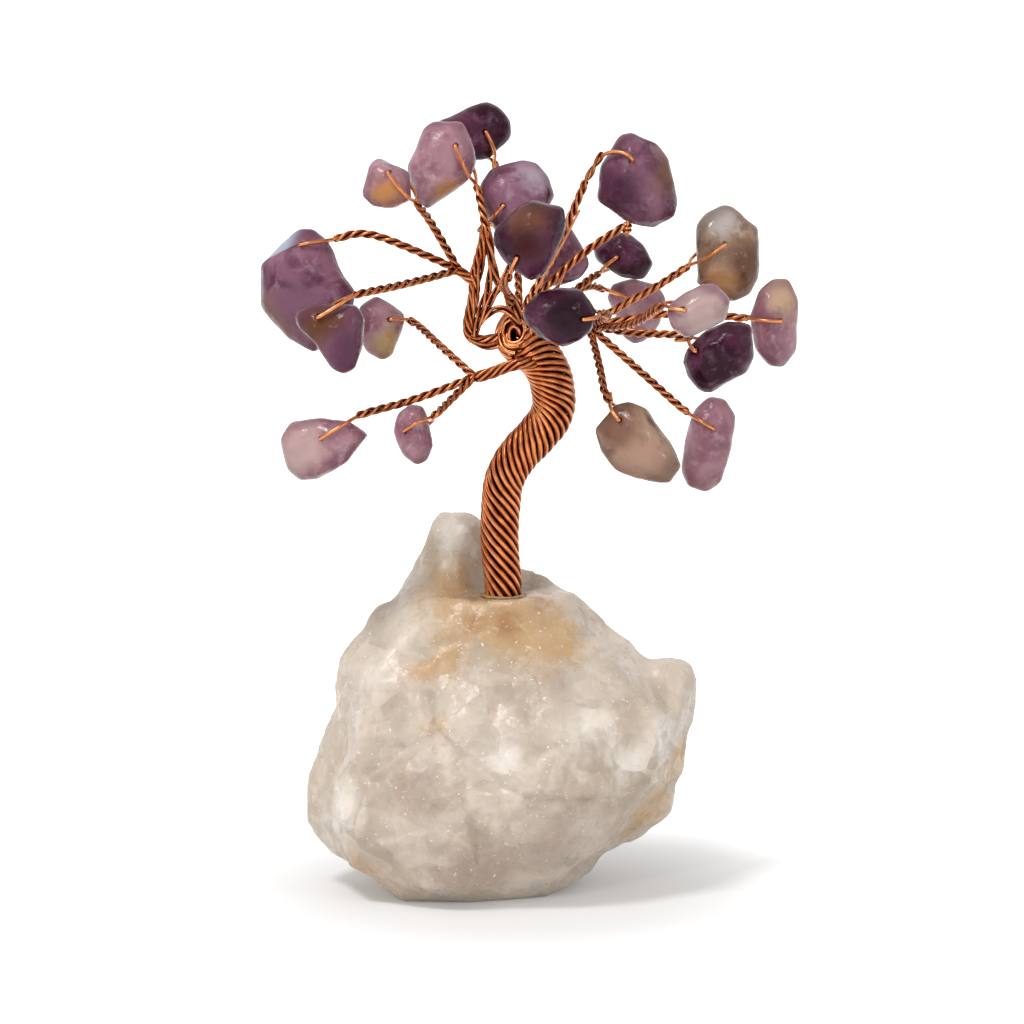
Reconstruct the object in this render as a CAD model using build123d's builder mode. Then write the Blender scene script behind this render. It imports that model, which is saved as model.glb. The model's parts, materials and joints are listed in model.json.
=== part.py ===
from build123d import *

import math
import os
from collections import namedtuple

# A small copper wire tree hung with tumbled amethyst chips, its trunk set in a block of milky quartz.
# The origin is on the quartz's flat underside, below the foot of the trunk. +Z is up and -Y is the front.

# Quartz block
rock_width = 54.5
rock_depth = 42.0
rock_height = 53.2
seat_height_share = 0.80
socket_depth = 9.0

# Trunk, a twisted bundle of every wire in the tree
trunk_rise = 35.8
trunk_sway = 6.9
trunk_lean = 2.5
trunk_foot_diameter = 4.9
trunk_top_diameter = 6.5
trunk_straight = 1.8

# Glue that holds the trunk in its socket
glue_gap = 0.15
glue_bead_reach = 0.9
glue_bead_rise = 1.1

# Knot where the bundle divides, and the coil of wire in front of it
knot_diameter = 6.2
knot_thickness = 3.6
knot_round = 0.9
coil_wire_diameter = 0.9
coil_turns = 2
coil_marks_count = 200
coil_gap = 0.45
touch_gap = 0.02

# Crown
crown_width = 78.0
crown_depth = 52.0
crown_height = 56.0
limb_diameter = 1.7
branch_diameter = 1.45
twig_diameter = 1.2
neck_diameter = 1.3

# The single wire that each twig passes through its chip
wire_diameter = 0.52
bore_gap = 0.1
wire_lift = 0.5
wire_bend = 0.45
shoulder_bend = 1.0
shoulder_place_share = 0.6
shoulder_lift_share = 0.9

# Amethyst chips, sized from a middling one
chip_size = 10.0

# Bends in a tube take this share of the shorter run beside them, and are never wider than this
bend_room_share = 0.45
widest_bend = 60.0

seat_height = rock_height * seat_height_share
socket_floor = seat_height - socket_depth
trunk_foot_radius = trunk_foot_diameter / 2
socket_radius = trunk_foot_radius + glue_gap
bore_diameter = wire_diameter + 2 * bore_gap

# How far the rough block stands out around its middle, bearing by bearing from +X, level by level.
# Each level: height, then the place of its middle across and back, its half width and half depth.
Level = namedtuple("Level", "height_share across_share back_share width_share depth_share reach_shares")

block_levels = [
    Level(0.0, 0, 0.07, 0.5, 0.5, [0.46, 0.52, 0.72, 0.78, 0.62, 0.60, 0.76, 0.50, 0.38, 0.42]),
    Level(0.075, 0, 0.07, 0.5, 0.5, [0.54, 0.62, 0.82, 0.90, 0.86, 0.90, 0.94, 0.82, 0.66, 0.50]),
    Level(0.197, 0, 0.07, 0.5, 0.5, [0.86, 0.86, 0.94, 0.98, 1.00, 1.02, 1.01, 0.95, 0.88, 0.72]),
    Level(0.32, 0, 0.07, 0.5, 0.5, [0.95, 0.92, 0.95, 0.97, 0.98, 1.01, 1.00, 0.97, 1.00, 0.96]),
    Level(0.49, 0, 0.07, 0.5, 0.5, [0.98, 0.90, 0.85, 0.84, 0.84, 0.87, 0.88, 0.84, 0.88, 0.96]),
    Level(0.615, 0, 0.07, 0.5, 0.5, [0.76, 0.70, 0.68, 0.70, 0.76, 0.86, 0.82, 0.68, 0.70, 0.72]),
    Level(0.697, 0, 0.07, 0.5, 0.5, [0.57, 0.54, 0.54, 0.60, 0.68, 0.75, 0.68, 0.53, 0.52, 0.52]),
    Level(0.76, 0, 0.07, 0.5, 0.5, [0.46, 0.44, 0.46, 0.54, 0.62, 0.68, 0.54, 0.43, 0.42, 0.42]),
    Level(0.80, 0, 0.07, 0.5, 0.5, [0.37, 0.35, 0.38, 0.46, 0.53, 0.52, 0.40, 0.37, 0.36, 0.34]),
]
peak_levels = [
    Level(0.65, -0.10, 0.175, 0.25, 0.2, [1.00, 0.90, 0.80, 0.82, 0.90, 0.95, 0.90, 1.00, 0.60, 0.62]),
    Level(0.80, -0.10, 0.175, 0.25, 0.2, [0.95, 0.85, 0.76, 0.78, 0.74, 0.69, 0.74, 0.95, 0.52, 0.55]),
    Level(0.85, -0.10, 0.175, 0.25, 0.2, [0.56, 0.48, 0.60, 0.68, 0.62, 0.53, 0.59, 0.73, 0.42, 0.38]),
    Level(0.92, -0.115, 0.18, 0.1, 0.11, [0.95, 0.90, 0.92, 0.97, 0.92, 0.87, 0.97, 1.00, 0.88, 0.90]),
    Level(0.97, -0.12, 0.18, 0.072, 0.08, [0.96, 0.94, 0.92, 1.00, 0.94, 0.94, 1.02, 0.96, 0.90, 0.94]),
    Level(1.0, -0.122, 0.18, 0.042, 0.046, [1.00, 0.92, 1.02, 0.95, 0.90, 1.04, 0.95, 0.98, 1.00, 0.94]),
]
knob_levels = [
    Level(0.44, 0.380, 0.070, 0.112, 0.167, [1.00, 0.92, 0.95, 1.00, 0.96, 0.90, 1.02]),
    Level(0.545, 0.405, 0.070, 0.096, 0.125, [1.00, 1.00, 0.92, 0.95, 1.02, 0.94, 0.97]),
    Level(0.592, 0.420, 0.070, 0.072, 0.080, [1.00, 0.92, 1.02, 0.96, 0.94, 1.02, 0.95]),
    Level(0.612, 0.422, 0.070, 0.048, 0.052, [1.00, 0.94, 1.02, 0.96, 0.94, 1.00, 0.95]),
]

# The trunk's line above the quartz: shares of its sway, its lean and its rise
trunk_line_shares = [
    (-0.06, 0, 0.196),
    (-0.04, 0, 0.355),
    (0.06, 0, 0.472),
    (0.35, 0, 0.564),
    (0.71, 0.15, 0.640),
    (1.0, 0.35, 0.729),
    (1.0, 0.55, 0.830),
    (0.86, 0.75, 0.910),
    (0.61, 0.90, 0.969),
    (0.30, 1.0, 1.0),
]
trunk_sections = 14

# Where along its line the trunk begins to narrow into the knot
trunk_neck_share = 0.86

# How far the coiled knot faces to the left, to the front and up
knot_facing_shares = (-0.3, -0.85, 0.43)

# Limbs and branches, as shares of the crown's width, depth and height measured from the knot
limb_line_shares = {
    "low_left_limb": [
        (0.039, -0.010, -0.049),
        (0.016, -0.079, -0.036),
        (-0.018, -0.063, -0.048),
        (-0.046, -0.044, -0.068),
        (-0.076, -0.037, -0.079),
    ],
    "high_left_limb": [
        (-0.021, 0.014, 0.019),
        (-0.057, 0.014, 0.002),
        (-0.085, 0.010, 0.014),
        (-0.089, 0.010, 0.053),
        (-0.075, 0.019, 0.127),
        (-0.078, 0.019, 0.172),
    ],
    "right_limb": [(0.025, 0.010, 0.021), (0.078, 0.029, 0.029), (0.141, 0.048, 0.041)],
}
branch_line_shares = {
    "top_branch": [(-0.078, 0.019, 0.168), (-0.066, 0.025, 0.226), (-0.055, 0.029, 0.290)],
    "left_branch": [(-0.077, 0.019, 0.152), (-0.110, 0.010, 0.188)],
    "back_branch": [(0.018, 0.048, 0.049), (0.050, 0.163, 0.084), (0.102, 0.317, 0.098)],
    "upright_branch": [(0.005, 0.029, 0.056), (0.023, 0.067, 0.109)],
}
branch_bearers = {
    "top_branch": "high_left_limb",
    "left_branch": "high_left_limb",
    "back_branch": "crown_knot",
    "upright_branch": "crown_knot",
}

# How much of its outline a chip keeps, from its back to its front
chip_profile_shares = [(-0.5, 0.5), (-0.36, 0.82), (-0.13, 1.0), (0.13, 1.0), (0.36, 0.82), (0.5, 0.5)]

# One chip: its width, height and thickness over chip_size, its place as shares of the crown from the
# knot, how far its face turns to the right and leans back in degrees, its hole and the neck of its
# twig as shares of its own width and height, the twig's line to it and what the twig grows from.
Chip = namedtuple(
    "Chip",
    "size_shares place_shares turn lean hole_shares neck_shares grows_from line_shares outline_shares",
)

chips = {
    "01": Chip(
        (1.38, 1.74, 0.75), (-0.376, 0.087, 0.125), -18, 4, (0.0, 0.37), (0.31, 0.42),
        "left_branch",
        [(-0.108, 0.010, 0.185), (-0.210, 0.048, 0.246), (-0.278, 0.077, 0.273)],
        [(-0.50, 0.20), (-0.09, 0.49), (0.05, 0.50), (0.19, 0.40), (0.36, 0.15),
         (0.50, 0.0), (0.42, -0.28), (0.10, -0.50), (-0.18, -0.38), (-0.49, -0.14)],
    ),
    "02": Chip(
        (0.95, 0.98, 0.60), (-0.327, -0.221, 0.036), -10, -6, (-0.12, 0.38), (0.38, 0.66),
        "left_branch",
        [(-0.108, 0.010, 0.183), (-0.190, -0.106, 0.162)],
        [(-0.50, 0.40), (-0.28, 0.50), (0.37, 0.50), (0.50, 0.30), (0.46, -0.09),
         (0.36, -0.41), (0.20, -0.50), (0.04, -0.42), (-0.21, 0.0), (-0.50, 0.24)],
    ),
    "03": Chip(
        (0.70, 0.91, 0.50), (-0.247, 0.202, 0.019), 22, 8, (0.06, 0.11), (0.70, 0.10),
        "low_left_limb",
        [(-0.078, -0.033, -0.077), (-0.139, 0.058, -0.012)],
        [(-0.42, 0.34), (-0.06, 0.50), (0.22, 0.34), (0.50, 0.19), (0.46, -0.04),
         (0.22, -0.42), (0.0, -0.50), (-0.30, -0.38), (-0.50, -0.05)],
    ),
    "04": Chip(
        (0.70, 0.71, 0.55), (-0.229, -0.106, 0.411), -20, 10, (0.16, 0.16), (0.66, -0.42),
        "left_branch",
        [(-0.107, 0.010, 0.188), (-0.155, -0.058, 0.315)],
        [(-0.50, -0.29), (-0.34, 0.38), (-0.20, 0.50), (0.0, 0.38), (0.40, 0.22),
         (0.50, -0.33), (0.16, -0.50), (-0.26, -0.48)],
    ),
    "05": Chip(
        (0.96, 1.23, 0.70), (-0.136, 0.106, 0.435), -10, 6, (0.26, 0.22), (0.54, -0.26),
        "top_branch",
        [(-0.057, 0.029, 0.285), (-0.068, 0.067, 0.361)],
        [(-0.50, -0.04), (-0.26, 0.42), (-0.12, 0.50), (0.30, 0.49), (0.42, 0.26),
         (0.50, 0.04), (0.42, -0.14), (0.25, -0.26), (-0.19, -0.50), (-0.38, -0.40)],
    ),
    "06": Chip(
        (1.12, 0.82, 0.60), (-0.084, 0.375, 0.499), 16, 10, (0.10, -0.05), (0.32, -0.66),
        "crown_knot",
        [(0.002, 0.030, 0.040), (0.002, 0.215, 0.195), (-0.020, 0.310, 0.330)],
        [(-0.50, 0.12), (-0.24, 0.28), (-0.03, 0.42), (0.21, 0.50), (0.37, 0.42),
         (0.50, 0.17), (0.50, -0.11), (0.23, -0.48), (0.05, -0.50), (-0.24, -0.36)],
    ),
    "07": Chip(
        (1.06, 1.06, 0.70), (-0.002, 0.144, 0.348), 10, 12, (-0.24, -0.12), (-0.54, -0.44),
        "top_branch",
        [(-0.062, 0.028, 0.250), (-0.060, 0.070, 0.268)],
        [(-0.48, 0.21), (-0.33, 0.40), (0.09, 0.50), (0.28, 0.45), (0.42, 0.28),
         (0.50, 0.02), (0.30, -0.33), (0.04, -0.50), (-0.28, -0.46), (-0.50, 0.02)],
    ),
    "08": Chip(
        (0.98, 1.10, 0.75), (0.021, -0.240, 0.281), -8, -4, (-0.13, -0.16), (-0.34, -0.54),
        "crown_knot",
        [(-0.006, 0.020, 0.035), (-0.016, -0.015, 0.125), (-0.027, -0.163, 0.163)],
        [(-0.50, -0.04), (-0.49, 0.13), (-0.16, 0.43), (0.06, 0.50), (0.47, 0.42),
         (0.50, 0.20), (0.35, -0.17), (0.20, -0.45), (0.02, -0.50), (-0.35, -0.28)],
    ),
    "09": Chip(
        (0.85, 0.91, 0.65), (0.076, 0.310, 0.195), 18, 6, (-0.06, -0.20), (-0.20, -0.67),
        "back_branch",
        [(0.048, 0.155, 0.080), (0.052, 0.235, 0.098)],
        [(-0.25, 0.41), (0.10, 0.50), (0.37, 0.15), (0.50, -0.20), (0.30, -0.40),
         (0.0, -0.48), (-0.28, -0.50), (-0.50, -0.22), (-0.46, 0.12)],
    ),
    "10": Chip(
        (0.97, 0.81, 0.70), (0.072, -0.298, 0.101), 8, -5, (0.28, 0.04), (0.66, 0.06),
        "right_limb",
        [(0.131, 0.040, 0.045), (0.163, -0.100, 0.078)],
        [(-0.50, 0.14), (-0.31, 0.40), (0.02, 0.50), (0.32, 0.42), (0.50, 0.10),
         (0.46, -0.23), (0.27, -0.42), (0.04, -0.50), (-0.31, -0.32), (-0.48, -0.10)],
    ),
    "11": Chip(
        (1.13, 1.36, 0.75), (0.214, 0.163, 0.393), 12, 0, (-0.14, -0.11), (-0.64, 0.02),
        "upright_branch",
        [(0.019, 0.062, 0.104), (0.061, 0.105, 0.195), (0.097, 0.154, 0.311)],
        [(-0.20, 0.46), (-0.08, 0.50), (0.22, 0.39), (0.37, 0.22), (0.50, -0.25),
         (0.46, -0.38), (0.20, -0.50), (-0.18, -0.41), (-0.50, -0.20), (-0.45, 0.14)],
    ),
    "12": Chip(
        (0.86, 0.65, 0.55), (0.194, 0.413, 0.179), -14, 6, (-0.03, -0.03), (-0.46, -0.46),
        "back_branch",
        [(0.100, 0.317, 0.095), (0.135, 0.375, 0.130)],
        [(-0.50, 0.14), (-0.09, 0.50), (0.06, 0.48), (0.33, 0.21), (0.50, -0.15),
         (0.34, -0.50), (-0.03, -0.50), (-0.18, -0.40), (-0.44, -0.12)],
    ),
    "13": Chip(
        (0.85, 0.97, 0.55), (0.218, 0.510, 0.027), 12, 0, (-0.20, 0.24), (-0.66, 0.36),
        "back_branch",
        [(0.100, 0.317, 0.098), (0.136, 0.433, 0.104)],
        [(-0.50, 0.20), (-0.42, 0.40), (-0.02, 0.50), (0.36, 0.38), (0.50, 0.18),
         (0.42, -0.20), (0.14, -0.46), (-0.03, -0.50), (-0.22, -0.38), (-0.38, 0.0)],
    ),
    "14": Chip(
        (0.94, 1.36, 0.65), (0.377, 0.260, 0.201), 16, 5, (-0.13, 0.10), (-0.64, -0.14),
        "right_limb",
        [(0.134, 0.052, 0.044), (0.183, 0.106, 0.085), (0.246, 0.163, 0.122)],
        [(-0.46, 0.30), (-0.33, 0.41), (-0.04, 0.50), (0.10, 0.47), (0.50, 0.26),
         (0.49, -0.28), (0.34, -0.43), (0.08, -0.50), (-0.48, -0.33), (-0.44, -0.05)],
    ),
    "15": Chip(
        (0.86, 0.74, 0.55), (0.312, -0.317, 0.119), 10, -4, (-0.29, 0.08), (-0.65, 0.12),
        "right_limb",
        [(0.131, 0.040, 0.040), (0.170, -0.067, 0.047), (0.217, -0.202, 0.079)],
        [(-0.50, -0.04), (-0.43, 0.13), (-0.24, 0.30), (0.05, 0.47), (0.26, 0.50),
         (0.50, 0.20), (0.46, -0.19), (0.12, -0.38), (-0.18, -0.50), (-0.42, -0.33)],
    ),
    "16": Chip(
        (0.99, 1.0, 0.70), (0.354, -0.106, -0.019), -10, -5, (-0.27, 0.14), (-0.55, 0.32),
        "right_limb",
        [(0.136, 0.046, 0.038), (0.180, 0.012, 0.030), (0.238, -0.052, 0.030)],
        [(-0.50, -0.08), (-0.45, 0.10), (-0.19, 0.35), (0.12, 0.50), (0.46, 0.46),
         (0.50, 0.0), (0.39, -0.22), (-0.10, -0.50), (-0.27, -0.46), (-0.43, -0.28)],
    ),
    "17": Chip(
        (0.66, 1.26, 0.55), (0.461, 0.125, 0.036), 24, 0, (-0.08, 0.06), (-0.72, 0.08),
        "right_limb",
        [(0.138, 0.050, 0.041), (0.245, 0.087, 0.067), (0.335, 0.113, 0.064)],
        [(-0.50, 0.10), (-0.34, 0.38), (-0.02, 0.50), (0.30, 0.50), (0.50, 0.30),
         (0.48, -0.33), (0.20, -0.50), (-0.08, -0.48), (-0.45, -0.27), (-0.50, -0.05)],
    ),
    "18": Chip(
        (1.21, 1.12, 0.65), (0.211, -0.221, -0.216), -12, 4, (-0.17, 0.28), (-0.42, 0.58),
        "right_limb",
        [(0.128, 0.038, 0.033), (0.145, -0.106, -0.043)],
        [(-0.50, 0.15), (-0.28, 0.46), (-0.10, 0.50), (0.10, 0.42), (0.30, 0.10),
         (0.50, -0.28), (0.38, -0.50), (0.22, -0.50), (-0.25, -0.36), (-0.40, -0.14)],
    ),
    "19": Chip(
        (0.75, 1.37, 0.60), (0.346, 0.221, -0.282), 18, -4, (-0.08, 0.22), (-0.53, 0.38),
        "right_limb",
        [(0.136, 0.048, 0.029), (0.219, 0.125, -0.081)],
        [(-0.36, 0.25), (-0.24, 0.38), (0.02, 0.50), (0.30, 0.48), (0.50, 0.32),
         (0.44, -0.05), (0.22, -0.43), (-0.06, -0.50), (-0.38, -0.43), (-0.50, -0.25)],
    ),
    "20": Chip(
        (1.27, 0.89, 0.60), (-0.342, -0.144, -0.245), -12, 0, (0.02, 0.22), (0.44, 0.60),
        "low_left_limb",
        [(-0.076, -0.033, -0.077), (-0.174, -0.077, -0.128)],
        [(-0.50, 0.15), (-0.38, 0.42), (-0.05, 0.50), (0.25, 0.45), (0.50, 0.24),
         (0.24, -0.20), (-0.07, -0.48), (-0.27, -0.50), (-0.40, -0.31)],
    ),
    "21": Chip(
        (0.59, 0.85, 0.50), (-0.184, -0.183, -0.203), -22, 5, (-0.04, 0.07), (0.60, 0.37),
        "low_left_limb",
        [(-0.078, -0.035, -0.079), (-0.120, -0.106, -0.127)],
        [(-0.08, 0.50), (0.20, 0.48), (0.36, 0.16), (0.50, -0.17), (0.38, -0.42),
         (0.12, -0.50), (-0.18, -0.38), (-0.50, 0.03), (-0.38, 0.34)],
    ),
}

# Chip 11 is drilled from its front face down to its lower edge, and its wire runs between two twigs.
# The wire's shares are of the chip's width, height and thickness.
threaded_chip = "11"
threaded_wire_shares = [
    (-0.64, 0.02, 0.0),
    (-0.47, 0.30, 0.20),
    (-0.15, 0.34, 0.54),
    (-0.13, -0.58, 0.0),
]
threaded_twig_shares = [(0.024, 0.072, 0.098), (0.072, 0.128, 0.162), (0.147, 0.150, 0.244)]

trunk_points = [
    Vector(x * trunk_sway, -y * trunk_lean, seat_height + z * trunk_rise) for x, y, z in trunk_line_shares
]
knot_middle = trunk_points[-1]
knot_plane = Plane(origin=knot_middle, x_dir=(1, 0, 0), z_dir=knot_facing_shares)

pieces = {}


def crown_point(shares):
    """A place in the crown, from its shares of the crown's sizes."""
    across, back, up = shares
    return knot_middle + Vector(across * crown_width, back * crown_depth, up * crown_height)


def bend_radii(points):
    """The widest bend that the runs beside each corner leave room for."""
    radii = []
    for before, corner, after in zip(points, points[1:], points[2:]):
        run_in = corner - before
        run_out = after - corner
        half_turn = math.radians(run_in.get_angle(run_out)) / 2
        room = bend_room_share * min(run_in.length, run_out.length)
        radii.append(min(room / math.tan(half_turn), widest_bend))
    return radii


def tube(points, diameter, radii=None):
    """A round tube along straight runs joined by bends."""
    with BuildPart() as piece:
        with BuildLine() as route:
            if len(points) == 2:
                Line(*points)
            else:
                FilletPolyline(*points, radius=radii or bend_radii(points))
        with BuildSketch(Plane(origin=route.line @ 0, z_dir=route.line % 0)):
            Circle(diameter / 2)
        sweep()
    return piece.part


def lump(levels):
    """A rough lump of quartz, ruled from level to level."""
    with BuildPart() as piece:
        for level in levels:
            step = 2 * math.pi / len(level.reach_shares)
            corners = [
                (
                    (level.across_share + reach * math.cos(k * step) * level.width_share) * rock_width,
                    (level.back_share + reach * math.sin(k * step) * level.depth_share) * rock_depth,
                )
                for k, reach in enumerate(level.reach_shares)
            ]
            with BuildSketch(Plane.XY.offset(level.height_share * rock_height)):
                with BuildLine():
                    Polyline(*corners, close=True)
                make_face()
        loft(ruled=True)
    return piece.part


def chip_plane(chip):
    """The plane of a chip's middle, its normal out of the chip's front face."""
    turn, lean = math.radians(chip.turn), math.radians(chip.lean)
    facing = (math.sin(turn) * math.cos(lean), -math.cos(turn) * math.cos(lean), math.sin(lean))
    return Plane(
        origin=crown_point(chip.place_shares), x_dir=(math.cos(turn), math.sin(turn), 0), z_dir=facing
    )


def on_chip(chip, shares, lift=0.0):
    """A point on a chip's middle plane, or lifted off it, from its shares of the chip's sizes."""
    width, height, _ = chip.size_shares
    across, up = shares
    return chip_plane(chip).from_local_coords((across * width * chip_size, up * height * chip_size, lift))


def on_thread(chip, shares):
    """A point on a threaded chip's wire, from its shares of the chip's sizes."""
    across, up, out = shares
    return on_chip(chip, (across, up), out * chip.size_shares[2] * chip_size)


def wire_through(chip):
    """The wire that leaves the twist, passes through the hole and comes back behind the chip."""
    lift = chip.size_shares[2] * chip_size / 2 + wire_lift
    shoulder = [
        hole + (neck - hole) * shoulder_place_share for hole, neck in zip(chip.hole_shares, chip.neck_shares)
    ]
    front = [
        on_chip(chip, chip.neck_shares, wire_diameter / 2),
        on_chip(chip, shoulder, lift * shoulder_lift_share),
        on_chip(chip, chip.hole_shares, lift),
    ]
    back = [
        on_chip(chip, chip.hole_shares, -lift),
        on_chip(chip, shoulder, -lift * shoulder_lift_share),
        on_chip(chip, chip.neck_shares, -wire_diameter / 2),
    ]
    return tube(front + back, wire_diameter, [shoulder_bend, wire_bend, wire_bend, shoulder_bend])


def bore_plane(name, chip):
    """The plane across a chip's drilled hole."""
    if name == threaded_chip:
        top, bottom = [on_thread(chip, shares) for shares in threaded_wire_shares[-2:]]
        return Plane(origin=(top + bottom) / 2, z_dir=top - bottom)
    return Plane(origin=on_chip(chip, chip.hole_shares), z_dir=chip_plane(chip).z_dir)


def keep_largest(part):
    """The main solid of a trimmed piece, without the scraps that trimming leaves."""
    with BuildPart() as kept:
        add(part.solids().sort_by(SortBy.VOLUME)[-1])
    return kept.part


def trimmed(part, mates):
    """A piece that meets its mates face to face."""
    with BuildPart() as piece:
        add(part)
        for mate in mates:
            add(mate, mode=Mode.SUBTRACT)
    return keep_largest(piece.part)


# Quartz block, with the socket that holds the trunk
peak = lump(peak_levels)
knob = lump(knob_levels)
with BuildPart() as quartz:
    add(lump(block_levels))
    add(peak)
    add(knob)
    with BuildSketch(Plane.XY.offset(seat_height)):
        Circle(socket_radius)
    extrude(amount=-socket_depth, mode=Mode.SUBTRACT)
pieces["quartz_base"] = quartz.part

# Glue around the foot of the trunk
with BuildPart() as glue:
    with BuildSketch(Plane.XZ):
        with BuildLine():
            Polyline(
                (trunk_foot_radius, socket_floor),
                (socket_radius, socket_floor),
                (socket_radius, seat_height),
                (socket_radius + glue_bead_reach, seat_height),
                (trunk_foot_radius, seat_height + glue_bead_rise),
                close=True,
            )
        make_face()
    revolve(axis=Axis.Z)
pieces["foot_glue"] = glue.part

# Knot at the top of the trunk
with BuildPart() as knot:
    with BuildSketch(knot_plane.offset(-knot_thickness / 2)):
        Circle(knot_diameter / 2)
    extrude(amount=knot_thickness)
    fillet(knot.edges().filter_by(GeomType.CIRCLE), knot_round)
pieces["crown_knot"] = knot.part

# Trunk, thicker towards its top
with BuildLine() as trunk_spine:
    Spline((0, 0, seat_height + trunk_straight), *trunk_points, tangents=[(0, 0, 1), (-1, 0, 1)])
with BuildPart() as trunk:
    with BuildSketch(Plane.XY.offset(socket_floor)):
        Circle(trunk_foot_radius)
    extrude(amount=socket_depth + trunk_straight)
    for section in range(trunk_sections + 1):
        along = section / trunk_sections
        if along < trunk_neck_share:
            growth = along / trunk_neck_share
            diameter = trunk_foot_diameter + (trunk_top_diameter - trunk_foot_diameter) * growth
        else:
            growth = (along - trunk_neck_share) / (1 - trunk_neck_share)
            diameter = trunk_top_diameter + (knot_thickness - trunk_top_diameter) * growth
        with BuildSketch(Plane(trunk_spine.line @ along, x_dir=(0, 1, 0), z_dir=trunk_spine.line % along)):
            Circle(diameter / 2)
    loft()
pieces["trunk"] = trimmed(trunk.part, [knot.part])

# Coil of wire in front of the knot, in half turns that draw in by half a pitch each
coil_pitch = coil_wire_diameter + coil_gap
coil_outer_radius = (knot_diameter - coil_wire_diameter) / 2
coil_plane = knot_plane.offset((knot_thickness + coil_wire_diameter) / 2 + touch_gap)
with BuildPart() as coil:
    with BuildLine(coil_plane) as coil_route:
        Line((coil_outer_radius, -coil_wire_diameter), (coil_outer_radius, 0))
        for half_turn in range(2 * coil_turns):
            radius = coil_outer_radius - half_turn * coil_pitch / 2
            middle = -(half_turn % 2) * coil_pitch / 2
            CenterArc((middle, 0), radius, 180 * (half_turn % 2), 180)
    with BuildSketch(Plane(origin=coil_route.line @ 0, z_dir=coil_route.line % 0)):
        Circle(coil_wire_diameter / 2)
    sweep()
pieces["crown_coil"] = coil.part

# The coil's least gap to itself, between points at least half a turn apart
coil_run = coil_route.wire()
coil_marks = [coil_run @ (mark / coil_marks_count) for mark in range(coil_marks_count + 1)]
marks_apart = math.ceil(coil_marks_count * math.pi * coil_pitch / coil_run.length)
least_gap = min(
    (far - near).length - coil_wire_diameter
    for mark, near in enumerate(coil_marks)
    for far in coil_marks[mark + marks_apart :]
)
print(f"least gap of the coil to itself: {least_gap:.2f} mm")

# Limbs, then the branches that divide from them
grown = {}
for name, line_shares in limb_line_shares.items():
    limb = tube([crown_point(shares) for shares in line_shares], limb_diameter)
    pieces[name] = trimmed(limb, [knot.part, pieces["trunk"]])
for name, line_shares in branch_line_shares.items():
    branch = tube([crown_point(shares) for shares in line_shares], branch_diameter)
    bearer = branch_bearers[name]
    mates = [pieces[bearer]] + grown.setdefault(bearer, [])
    pieces[name] = trimmed(branch, mates)
    grown[bearer].append(pieces[name])

# Chips and the twigs that carry them
for name, chip in chips.items():
    outline = [
        (across * chip.size_shares[0] * chip_size, up * chip.size_shares[1] * chip_size)
        for across, up in chip.outline_shares
    ]
    thickness = chip.size_shares[2] * chip_size
    reach = max(chip.size_shares) * chip_size
    with BuildPart() as stone:
        for depth_share, spread_share in chip_profile_shares:
            with BuildSketch(chip_plane(chip).offset(depth_share * thickness)):
                with BuildLine():
                    Polyline(*[(spread_share * x, spread_share * y) for x, y in outline], close=True)
                make_face()
        loft(ruled=True)
        with BuildSketch(bore_plane(name, chip)):
            Circle(bore_diameter / 2)
        extrude(amount=reach, both=True, mode=Mode.SUBTRACT)
    pieces[f"amethyst_{name}"] = stone.part

    routes = [[crown_point(shares) for shares in chip.line_shares] + [on_chip(chip, chip.neck_shares)]]
    if name == threaded_chip:
        thread = [on_thread(chip, shares) for shares in threaded_wire_shares]
        wire = tube(thread, wire_diameter, [shoulder_bend, wire_bend])
        routes.append([crown_point(shares) for shares in threaded_twig_shares] + [thread[-1]])
    else:
        wire = wire_through(chip)
    ropes = [tube(route, twig_diameter) for route in routes]
    with BuildPart() as twig:
        for route, rope in zip(routes, ropes):
            add(rope)
            with Locations(Plane(origin=route[-1], z_dir=route[-1] - route[-2])):
                Sphere(neck_diameter / 2)
        add(wire)
    mates = [pieces[chip.grows_from]] + grown.setdefault(chip.grows_from, [])
    pieces[f"twig_{name}"] = trimmed(twig.part, mates)
    grown[chip.grows_from].append(pieces[f"twig_{name}"])

for name, part in pieces.items():
    part.label = name
    export_step(part, f"parts/{name}.step")
print(len(pieces), "pieces")
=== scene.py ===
import json
import math
from collections import namedtuple

import bmesh
import bpy
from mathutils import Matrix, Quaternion, Vector, noise
from mathutils.bvhtree import BVHTree


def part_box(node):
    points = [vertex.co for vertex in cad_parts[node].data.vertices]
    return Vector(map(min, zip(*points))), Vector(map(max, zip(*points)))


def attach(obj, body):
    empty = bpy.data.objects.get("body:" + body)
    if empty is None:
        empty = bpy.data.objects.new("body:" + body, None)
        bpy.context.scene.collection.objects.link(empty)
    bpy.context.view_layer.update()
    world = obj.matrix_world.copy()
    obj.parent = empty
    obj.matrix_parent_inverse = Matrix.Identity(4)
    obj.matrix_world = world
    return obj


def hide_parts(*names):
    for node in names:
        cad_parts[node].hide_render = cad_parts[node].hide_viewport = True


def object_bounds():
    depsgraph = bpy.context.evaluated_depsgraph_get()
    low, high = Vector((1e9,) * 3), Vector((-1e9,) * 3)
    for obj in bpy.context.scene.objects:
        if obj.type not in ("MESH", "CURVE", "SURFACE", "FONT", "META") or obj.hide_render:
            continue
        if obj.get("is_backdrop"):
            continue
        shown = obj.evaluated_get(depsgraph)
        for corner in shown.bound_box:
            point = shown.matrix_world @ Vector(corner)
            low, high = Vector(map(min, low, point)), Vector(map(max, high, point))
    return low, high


# A copper wire tree hung with tumbled amethyst, its trunk set in a block of milky quartz.
# The frame is the CAD part's: metres, +Z up, -Y to the front, the origin under the foot of the trunk.

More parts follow.
